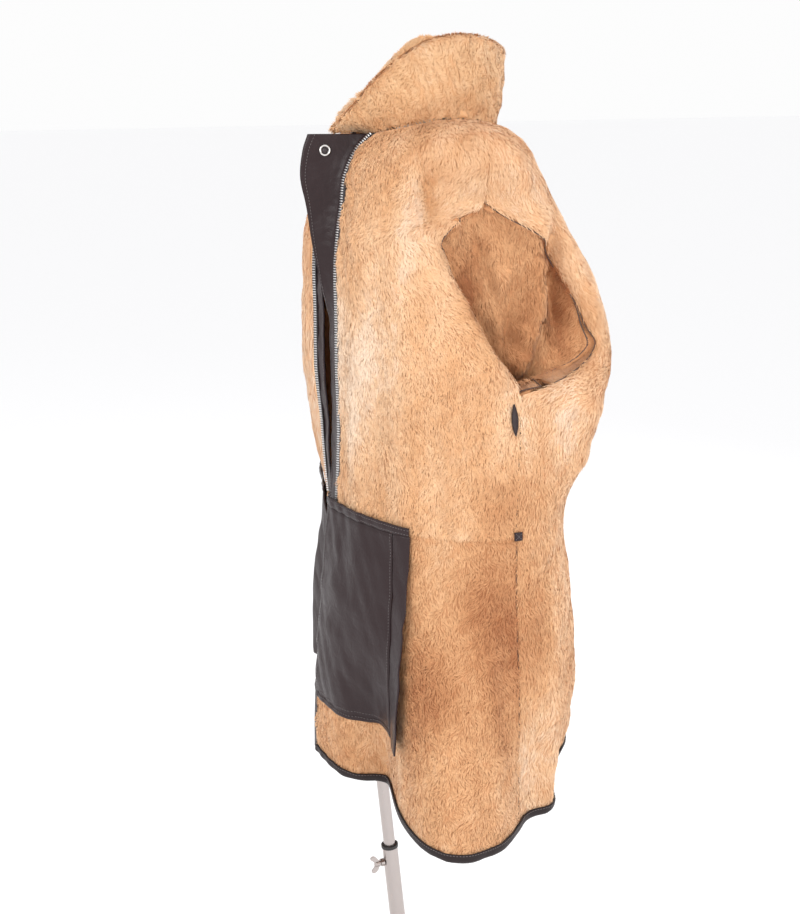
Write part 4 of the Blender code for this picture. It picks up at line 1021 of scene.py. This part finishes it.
def laid(side, angle, level):
    """Points of the pile's surface with the folds round the armholes."""
    return arm_folds(side, body(side, angle, level))


def surface_normals(grid):
    """Normals of a grid that lies on the coat, facing away from its middle."""
    return grid_normals(grid, unit((grid - MIDDLE) * np.array([1.0, 1.0, 0.0])))


def lay(name, grid, n, lift, thickness, material):
    """A sheet whose back lies lift above a grid of surface points."""
    return wall(name, grid + n * (lift + thickness), grid + n * lift, material)


def resample(path, n, spacing):
    """Points, directions and normals at equal steps along a path."""
    far = np.concatenate([[0.0], np.cumsum(np.linalg.norm(np.diff(path, axis=0), axis=1))])
    at = np.arange(spacing / 2, far[-1], spacing)
    point = np.stack([np.interp(at, far, path[:, k]) for k in range(3)], axis=1)
    up = unit(np.stack([np.interp(at, far, n[:, k]) for k in range(3)], axis=1))
    ahead = unit(np.gradient(point, axis=0))
    return point, ahead, up


def blocks(name, path, n, spacing, size, lift, material):
    """A row of small blocks along a path, such as zip teeth: size is across, along, high."""
    point, ahead, up = resample(path, n, spacing)
    aside = unit(np.cross(up, ahead))
    across, along, high = size
    square = ((-1, -1), (1, -1), (1, 1), (-1, 1))
    corner = np.array([(sx, sy, sz) for sz in (0, 1) for sx, sy in square], float)
    taper = np.where(corner[:, 2] > 0, 0.62, 1.0)
    points = (point[:, None] + aside[:, None] * (corner[:, 0] * taper * across / 2)[None, :, None]
              + ahead[:, None] * (corner[:, 1] * taper * along / 2)[None, :, None]
              + up[:, None] * (lift + corner[:, 2] * high)[None, :, None])
    box = np.array([(0, 3, 2, 1), (4, 5, 6, 7), (0, 1, 5, 4), (1, 2, 6, 5), (2, 3, 7, 6), (3, 0, 4, 7)])
    facing = np.sum(np.cross(aside, ahead) * up) > 0.0
    box = box if facing else box[:, ::-1]
    faces = (np.arange(len(point))[:, None, None] * 8 + box[None]).reshape(-1, 4)
    print(f"{name}: {len(point)} pieces")
    return add_piece(name, points.reshape(-1, 3), [faces], material, smooth_faces=False)


def stitches(name, path, n, material, pitch=0.0044, long=0.0032, thick=0.00055, lift=0.0003):
    """A row of stitches: short six-sided bars whose ends dip into the cloth."""
    point, ahead, up = resample(path, n, pitch)
    aside = unit(np.cross(up, ahead))
    place = np.linspace(-1.0, 1.0, 5)
    reach = np.sqrt(np.maximum(1.0 - place ** 2, 0.04)) * thick
    turn = np.arange(6) / 6 * 2 * math.pi
    across, over = np.cos(turn), np.sin(turn)
    rise = lift + thick * 0.6 * (1.0 - place ** 2) - thick * 0.5
    points = (point[:, None, None] + ahead[:, None, None] * (place * long / 2)[None, :, None, None]
              + aside[:, None, None] * (reach[:, None] * across)[None, ..., None]
              + up[:, None, None] * (rise[:, None] + reach[:, None] * over)[None, ..., None])
    number = np.arange(30).reshape(5, 6)
    ring = np.concatenate([number, number[:, :1]], axis=1)
    bar = quads(ring[:-1, :-1], ring[1:, :-1], ring[1:, 1:], ring[:-1, 1:])
    caps = np.array([(0, 1, 2, 3), (0, 3, 4, 5)])
    bar = np.concatenate([bar[:, ::-1], caps[:, ::-1], caps + 24])
    faces = (np.arange(len(point))[:, None, None] * 30 + bar[None]).reshape(-1, 4)
    return add_piece(name, points.reshape(-1, 3), [faces], material)

# %% [markdown]
# ## The front bands and the zip
# A leather band runs down each front beside the zip. The near one's upper corner has
# turned outwards like a small lapel. The zip's teeth are blocks along the tape's edge.

# %% Bands, tapes and teeth
FLAP_FOLD = 0.024
FLAP_REACH = 0.074
FLAP_LEVELS = 6.2
BAND_DEPTH = 0.003
BAND_WALL = 0.006
LEATHER = 0.0022
LAYER = 0.0006
TAPE = 0.0016
ZIP_TAPE = 0.014


def band_grid(side, levels, x_from, x_to, cols, flap=True):
    """A strip of the front between two distances from the middle, with its normals.

    Past the fold line the near strip's points move forward, less and less going down.
    """
    x = np.linspace(x_from, x_to, cols)
    angle = np.stack([angle_at_x(side, place, levels) for place in x], axis=1)
    grid = body(side, angle, levels[:, None])
    n = body_normal(side, angle, levels[:, None])
    if flap and side == "left":
        past = np.clip((FLAP_FOLD - x) / (FLAP_FOLD - FRONT_EDGE["left"]), 0.0, 1.0)
        past = past * (0.82 + 0.18 * past)
        reach = FLAP_REACH * np.clip(1.0 - levels / FLAP_LEVELS, 0.0, 1.0)
        grid[..., 1] -= reach[:, None] * past
        bent = grid_normals(grid, n)
        share = smooth(reach[:, None] * (past > 0.0), 0.0, 0.01)[..., None]
        n = unit(n + (bent - n) * share)
    return grid, n


for side in ("left", "right"):
    levels = np.linspace(0.0, WAIST_LEVEL - 0.006, 220)
    grid, n = band_grid(side, levels, ZIP_LINE - SEAM, FRONT_EDGE[side], 34)
    creases = 0.0010 * waves(grid * np.array([1, 1, 0.6]), 0.045, 71) + 0.0005 * waves(grid, 0.014, 72)
    creased = grid + n * creases[..., None]
    band = lay(f"front_band_{side}_leather", halved(creased), halved(n), -BAND_DEPTH - LEATHER,
               LEATHER, nappa)
    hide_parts(f"front_band_{side}")
    topstitch = stitches(f"front_band_{side}_stitch", creased[:, -3], n[:, -3], thread,
                         lift=-BAND_DEPTH + 0.0004)
    hung(band, creased)

    grid, n = band_grid(side, levels, ZIP_LINE - SEAM, ZIP_LINE - ZIP_TAPE, 12, flap=False)
    tape = lay(f"zip_tape_{side}_cloth", halved(grid), halved(n), -BAND_DEPTH + LAYER, TAPE * 0.5,
               tape_cloth)
    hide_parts(f"zip_tape_{side}")
    edge, edge_n = band_grid(side, levels, ZIP_LINE - 0.0085, ZIP_LINE - 0.0100, 2, flap=False)
    teeth = blocks(f"zip_teeth_{side}", edge[:, 0], edge_n[:, 0], 0.0036, (0.0048, 0.0018, 0.0026),
                   -BAND_DEPTH + LAYER + TAPE * 0.5, zip_metal)
    hung(tape, grid)

    levels = np.linspace(WAIST_LEVEL, 13.0, 90)
    grid, n = band_grid(side, levels, FRONT_EDGE[side] + EDGE_BAND[side] - SEAM, FRONT_EDGE[side], 8)
    band = lay(f"edge_band_{side}_leather", grid, n, -BAND_WALL, BAND_WALL, nappa)
    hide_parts(f"edge_band_{side}")
    hung(band, grid, wrapped=BAND_WALL)

# %% [markdown]
# ## The pockets
# Inside out, each pocket shows as a leather bag sewn on the pile: a double-stitched
# mouth, the bag, and a strip along its rear edge that hangs free.

# %% Pocket bags
POCKET = {"left": (8.93, 11.62, 0.016, -38.5, -32.5), "right": (8.93, 11.70, 0.040, -40.0, -34.0)}
POCKET_LIFT = 0.0034
FREE_STRIP_DROP = 0.03
FREE_STRIP_LIFT = 0.012
WELT_LEVELS = 0.11


def across_between(side, inner_x, outer_angle, levels, cols):
    """Angles from a distance beside the middle to an angle, a row for each level."""
    start = angle_at_x(side, inner_x, levels)
    return start[:, None] + (outer_angle - start)[:, None] * np.linspace(0.0, 1.0, cols)


for side in ("left", "right"):
    top, foot, inner_x, seam_angle, free_angle = POCKET[side]
    levels = np.linspace(top + WELT_LEVELS, foot, 90)
    grid = laid(side, across_between(side, inner_x, seam_angle, levels, 60), levels[:, None])
    n = surface_normals(grid)
    down = np.linspace(0.0, 1.0, 90)[:, None]
    over = np.linspace(0.0, 1.0, 60)[None, :]
    slack = np.sin(math.pi * down) * np.sin(math.pi * over)
    tucks = np.exp(-((over - 0.38 - 0.30 * down) / 0.10) ** 2)
    tucks = tucks * smooth(down, 0.0, 0.10) * (1.0 - smooth(down, 0.18, 0.55))
    ripples = waves(grid * np.array([1.0, 1.0, 0.40]), 0.120, 84) * np.sqrt(slack)
    wrinkles = 0.0030 * slack + 0.0022 * ripples - 0.0030 * tucks + 0.0004 * waves(grid, 0.030, 82)
    wrinkles -= 0.0014 * np.exp(-((down - 0.965) / 0.012) ** 2)
    grid = grid + n * wrinkles[..., None]
    bag = lay(f"pocket_{side}_bag", halved(grid), halved(n), POCKET_LIFT, LEATHER, nappa)
    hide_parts(f"pocket_{side}")
    lines = (np.s_[-3], np.s_[-6], np.s_[:, -2], np.s_[:, 2])
    rows_of_stitches = [stitches(f"pocket_{side}_stitch_{number}", grid[line], n[line], thread,
                                 lift=POCKET_LIFT + LEATHER + 0.0002) for number, line in enumerate(lines)]
    hung(bag, grid)

    levels = np.linspace(top, top + WELT_LEVELS - SEAM / LEVEL_HEIGHT, 14)
    grid = laid(side, across_between(side, inner_x, free_angle, levels, 70), levels[:, None])
    n = surface_normals(grid)
    crown = np.sin(np.linspace(0.0, math.pi, 14))[:, None] * 0.0010
    grid = grid + n * crown[..., None]
    mouth = lay(f"pocket_mouth_{side}_band", grid, n, POCKET_LIFT, LEATHER, nappa)
    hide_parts(f"pocket_mouth_{side}")
    rows_of_stitches = [stitches(f"pocket_mouth_{side}_stitch_{row}", grid[row], n[row], thread,
                                 lift=POCKET_LIFT + LEATHER + 0.0002) for row in (3, 10)]
    hung(mouth, grid)

    levels = np.linspace(top + WELT_LEVELS, foot + FREE_STRIP_DROP, 100)
    share = np.linspace(0.0, 1.0, 14)
    angles = seam_angle + 0.3 + (free_angle - seam_angle) * share[None, :] + 0.0 * levels[:, None]
    grid = laid(side, angles, levels[:, None])
    n = surface_normals(grid)
    away = FREE_STRIP_LIFT * share[None, :] * smooth(levels, top, top + 1.5)[:, None]
    grid = grid + n * (away + 0.0008 * waves(grid, 0.05, 83) * share[None, :])[..., None]
    strip = lay(f"pocket_strip_{side}_leather", grid, n, POCKET_LIFT, LEATHER, nappa)
    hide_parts(f"pocket_strip_{side}")
    hung(strip, grid)

# %% [markdown]
# ## The hem's binding
# A strip of thin leather is folded over the hem, all the way round. Its section is a U
# that is carried along the edge of the panels.

# %% Hem binding
BINDING = 0.0075
BINDING_WALL = 0.0018
BINDING_CLEAR = 0.0018
hem_rows = [panels["front_skirt_left"], panels["back"], panels["front_skirt_right"]]
last, above, last_n = [], [], []
for place, (_, _, grid, n) in enumerate(hem_rows):
    turn_over = slice(None, None, -1) if place == 2 else slice(None)
    last.append(grid[-1][turn_over])
    above.append(grid[-4][turn_over])
    last_n.append(n[-1][turn_over])
last, above, last_n = (np.concatenate(part) for part in (last, above, last_n))
for _ in range(4):
    last_n[1:-1] = unit(last_n[:-2] + 2 * last_n[1:-1] + last_n[2:])
up = unit(above - last)
section_turn = np.linspace(0.0, math.pi, 9)[:, None, None]
centre = last - last_n * SKIN / 2
pucker = 0.0005 * waves(last, 0.016, 91)[:, None]


def binding_surface(clear):
    """The U: down the outside, half round the edge, up the inside."""
    half = SKIN / 2 + clear
    bend = centre + last_n * half * np.cos(section_turn) - up * half * 0.75 * np.sin(section_turn)
    outside = [last + up * BINDING * share + last_n * (clear - 0.0006 * share ** 4 + pucker)
               for share in (1.0, 0.66, 0.33)]
    inside = [last + up * BINDING * share - last_n * (SKIN + clear) for share in (0.33, 0.66, 1.0)]
    return np.stack([*outside, *bend, *inside])


binding = wall("hem_binding_leather", binding_surface(BINDING_CLEAR + BINDING_WALL),
               binding_surface(BINDING_CLEAR), binding_leather)
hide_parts("hem_binding")
binding_line = last + up * BINDING * 0.8 + last_n * (BINDING_CLEAR + BINDING_WALL)
binding_stitch = stitches("hem_binding_stitch", binding_line, last_n, thread)
hem_length = float(np.linalg.norm(np.diff(last, axis=0), axis=1).sum())
hung(binding, binding_surface(BINDING_CLEAR + BINDING_WALL))
print("hem:", round(hem_length, 3), "m round")

# %% [markdown]
# ## Seams, tabs and snaps
# The seams show as thin dark lines in the pile. The
# tabs, the snaps and the studs are small turned or flat pieces laid on the surface.

# %% Seam lines
def cord_along(name, path, n, thick, lift, material):
    """A thin round cord along a path, its middle lift above the path, with closed ends."""
    point, ahead, up = resample(path, n, 0.0025)
    aside = unit(np.cross(up, ahead))
    turn = np.arange(6) / 6 * 2 * math.pi
    wide = thick * (1.0 + 0.25 * waves(point, 0.012, 97))[:, None, None]
    points = (point[:, None] + up[:, None] * lift + aside[:, None] * np.cos(turn)[None, :, None] * wide
              + up[:, None] * np.sin(turn)[None, :, None] * wide)
    number = np.arange(len(point) * 6).reshape(-1, 6)
    ring = np.concatenate([number, number[:, :1]], axis=1)
    bar = quads(ring[:-1, :-1], ring[1:, :-1], ring[1:, 1:], ring[:-1, 1:])
    caps = np.array([(0, 1, 2, 3), (0, 3, 4, 5)])
    faces = np.concatenate([bar[:, ::-1], caps[:, ::-1], caps + number[-1, 0]])
    return add_piece(name, points.reshape(-1, 3), [faces], material)


for side in ("left", "right"):
    _, _, upper, upper_n = panels[f"front_upper_{side}"]
    _, _, skirt, skirt_n = panels[f"front_skirt_{side}"]
    below_arm = slice(int(len(upper) * 7.3 / 9.0), None)
    cord_along(f"side_seam_upper_{side}", upper[below_arm, -1], upper_n[below_arm, -1], 0.0005,
               -0.0010, seam_thread)
    cord_along(f"side_seam_skirt_{side}", skirt[:, -1], skirt_n[:, -1], 0.0005, -0.0012,
               seam_thread)
    cord_along(f"waist_seam_{side}", skirt[0], skirt_n[0], 0.0006, -0.0032, seam_thread)
    _, _, face, face_n = sleeves[side]
    cord_along(f"armhole_seam_{side}", np.roll(face[1], 30, axis=0)[:150],
               np.roll(face_n[1], 30, axis=0)[:150], 0.0009, 0.0004, seam_thread)
    _, _, wedge, wedge_n = panels[f"gusset_{side}"]
    cord_along(f"gusset_seam_{side}", wedge[-1], wedge_n[-1], 0.0008, -0.0006, seam_thread)
    cord_along(f"gusset_top_seam_{side}", wedge[0], wedge_n[0], 0.0008, -0.0006, seam_thread)

# %% [markdown]
# ## Tabs, stays and snaps
# These are small, so a few rings or a small grid give each its whole shape.

# %% Tabs and stays
def patch(node, side, angle, level, half_across, half_down, pointed):
    """A small flat piece on the pile, and its normal; a pointed one is 1 - 0.94 s^2 wide."""
    here = laid(side, angle, level)
    across = unit(laid(side, angle + 0.5, level) - here)
    down = laid(side, angle, level + 0.02) - here
    down = unit(down - across * np.dot(across, down))
    n = np.cross(across, down)
    n = n * np.sign(np.dot(n, here - np.array([0.0, 0.04, here[2]])))
    along = np.linspace(-1.0, 1.0, 25)
    width = (1.0 - 0.94 * along ** 2) if pointed else np.ones(25)
    edge = np.linspace(-1.0, 1.0, 9)
    swell = 0.0006 * (1.0 - edge[None, :, None] ** 2)
    grid = (here + n * (0.0018 + swell) + half_down * along[:, None, None] * down
            + half_across * width[:, None, None] * edge[None, :, None] * across)
    piece = wall(f"{node}_leather", grid + n * 0.0016, grid, nappa)
    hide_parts(node)
    return n


for side in ("left", "right"):
    patch(f"underarm_tab_{side}", side, -1.2, 7.45, 0.0050, 0.0215, True)
    n = patch(f"seam_stay_{side}", side, 1.0, 9.0, 0.0058, 0.0058, False)
    here = laid(side, 1.0, 9.0)
    for letter, slope in (("a", 1.0), ("b", -1.0)):
        diagonal = np.linspace(-1, 1, 9)[:, None] * np.array([0.0, 0.0048, 0.0048 * slope])
        stitches(f"seam_stay_stitch_{letter}_{side}", here + n * 0.0040 + diagonal,
                 np.tile(n, (9, 1)), thread, pitch=0.0032, long=0.0024)

# %% Snap and studs
def turned(name, place, axis, profile, material, sides=40):
    """A turned piece: rows of (distance along the axis, radius) spun round it."""
    axis = unit(np.asarray(axis, float))
    helper = np.array([1.0, 0.0, 0.0]) if abs(axis[0]) < 0.8 else np.array([0.0, 1.0, 0.0])
    first = unit(np.cross(axis, helper))
    second = np.cross(axis, first)
    turn = np.arange(sides) / sides * 2 * math.pi
    circle = np.cos(turn)[:, None] * first + np.sin(turn)[:, None] * second
    profile = np.asarray(profile)
    points = np.asarray(place) + axis * profile[:, 0, None, None] + circle[None] * profile[:, 1, None, None]
    number = np.arange(len(profile) * sides).reshape(len(profile), sides)
    ring = np.concatenate([number, number[:, :1]], axis=1)
    side_faces = quads(ring[:-1, :-1], ring[:-1, 1:], ring[1:, 1:], ring[1:, :-1])
    first_cap = number[0][::-1][None]
    last_cap = number[-1][None]
    return add_piece(name, points.reshape(-1, 3), [side_faces, first_cap, last_cap], material)


spot, spot_n = band_grid("left", np.array([0.98, 1.03]), 0.0125, 0.0115, 2)
snap_n = spot_n[0, 0]
socket = turned("snap_socket_ring", spot[0, 0] + snap_n * (-BAND_DEPTH + LAYER), snap_n,
                [(0.0, 0.0070), (0.0006, 0.0078), (0.0020, 0.0078), (0.0027, 0.0070),
                 (0.0027, 0.0058), (0.0020, 0.0052), (0.0012, 0.0050)], snap_metal)
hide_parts("snap_socket")
turned("snap_socket_well", spot[0, 0] + snap_n * (-BAND_DEPTH + LAYER), snap_n,
       [(0.0006, 0.0049), (0.0014, 0.0049), (0.0014, 0.0030), (0.0024, 0.0026), (0.0026, 0.0012)],
       dark_metal)
for number, level in enumerate((9.55, 10.35)):
    angle = float(angle_at_x("right", 0.018, level)[0])
    stud_n = body_normal("right", angle, level)
    stud = turned(f"snap_stud_{number + 1}_cap", laid("right", angle, level) + stud_n * LAYER, stud_n,
                  [(0.0, 0.0055), (0.0010, 0.0062), (0.0026, 0.0060), (0.0032, 0.0032),
                   (0.0060, 0.0030), (0.0066, 0.0022)], dark_metal)
    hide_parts(f"snap_stud_{number + 1}")
print("cuts:", json.dumps(CUTS))

# %% [markdown]
# ## The form and its stand
# These pieces come straight from the frame, because their shapes are already right. They
# only get their finishes: a plain jersey on the form and satin steel on the stand.

# %% Finishes of the form and the stand
def steel_material(name, colour, roughness):
    """Satin steel with faint marks along the tube."""
    finish, nodes, links, shader = new_material(name, colour, roughness, 1.0)
    place = nodes.new("ShaderNodeTexCoord")
    stretch = nodes.new("ShaderNodeMapping")
    stretch.inputs["Scale"].default_value = (900.0, 900.0, 8.0)
    marks = nodes.new("ShaderNodeTexNoise")
    marks.inputs["Scale"].default_value = 1.0
    marks.inputs["Detail"].default_value = 2.0
    spread = nodes.new("ShaderNodeMapRange")
    spread.inputs["To Min"].default_value = roughness - 0.06
    spread.inputs["To Max"].default_value = roughness + 0.10
    links.new(place.outputs["Object"], stretch.inputs["Vector"])
    links.new(stretch.outputs["Vector"], marks.inputs["Vector"])
    links.new(marks.outputs["Fac"], spread.inputs["Value"])
    links.new(spread.outputs["Result"], shader.inputs["Roughness"])
    return finish


satin_steel = steel_material("satin_steel", (0.48, 0.43, 0.41), 0.28)
black_bush = new_material("black_bush", (0.020, 0.018, 0.018), 0.45)[0]
jersey, jersey_nodes, jersey_links, jersey_shader = new_material("jersey", (0.62, 0.57, 0.50), 0.90)
knit = jersey_nodes.new("ShaderNodeTexWave")
knit.inputs["Scale"].default_value = 260.0
knit_place = jersey_nodes.new("ShaderNodeTexCoord")
knit_bump = jersey_nodes.new("ShaderNodeBump")
knit_bump.inputs["Strength"].default_value = 0.3
knit_bump.inputs["Distance"].default_value = 0.0004
jersey_links.new(knit_place.outputs["Object"], knit.inputs["Vector"])
jersey_links.new(knit.outputs["Fac"], knit_bump.inputs["Height"])
jersey_links.new(knit_bump.outputs["Normal"], jersey_shader.inputs["Normal"])
finishes = {"dress_form": jersey, "pole_bush": black_bush}
for node in ("dress_form", "stand_base", "base_hub", "pole_lower", "pole_bush", "mast", "clamp_nut",
             "clamp_screw"):
    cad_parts[node].data.materials.clear()
    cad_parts[node].data.materials.append(finishes.get(node, satin_steel))
print("finished:", ", ".join(finishes), "and the steel pieces")

# %% [markdown]
# ## Floor and light
# A pale floor that fades into a bright, even studio: a big soft key from the camera's
# left, a fill from its right and a pale sky all round.

# %% Floor, lights and sky
floor_side = 60.0
corners = np.array([[-1, -1, 0], [1, -1, 0], [1, 1, 0], [-1, 1, 0]]) * floor_side / 2
floor_finish, _, _, floor_shader = new_material("floor_paper", (0.93, 0.93, 0.94), 0.9)
floor_shader.inputs["Emission Color"].default_value = (1.0, 1.0, 1.0, 1.0)
floor_shader.inputs["Emission Strength"].default_value = 0.035
floor_mesh = bpy.data.meshes.new("floor")
floor_mesh.from_pydata((corners - np.array([0.0, 0.0, 0.0005])).tolist(), [], [(0, 1, 2, 3)])
floor_mesh.materials.append(floor_finish)
floor = bpy.data.objects.new("floor", floor_mesh)
bpy.context.scene.collection.objects.link(floor)


def soft_light(name, place, size, power, colour=(1.0, 1.0, 1.0), aim=(0.0, 0.03, 1.05)):
    """A square area light that faces the coat."""
    data = bpy.data.lights.new(name, "AREA")
    data.size = size
    data.energy = power
    data.color = colour
    lamp = bpy.data.objects.new(name, data)
    bpy.context.scene.collection.objects.link(lamp)
    lamp.location = place
    away = np.array(place) - np.array(aim)
    flat = math.hypot(away[0], away[1])
    lamp.rotation_euler = (math.atan2(flat, away[2]), 0.0, math.atan2(away[1], away[0]) + math.pi / 2)


soft_light("key", (1.6, -2.6, 2.6), 1.6, 42.0)
soft_light("side_fill", (2.8, 1.2, 1.7), 1.8, 30.0)
soft_light("back_rim", (-1.2, 2.2, 2.6), 1.6, 26.0)
sky = bpy.data.worlds.new("studio")
sky.use_nodes = True
sky.node_tree.nodes["Background"].inputs["Color"].default_value = (1.0, 1.0, 1.0, 1.0)
sky.node_tree.nodes["Background"].inputs["Strength"].default_value = 0.98
bpy.context.scene.world = sky
bpy.context.scene.view_settings.view_transform = "Standard"
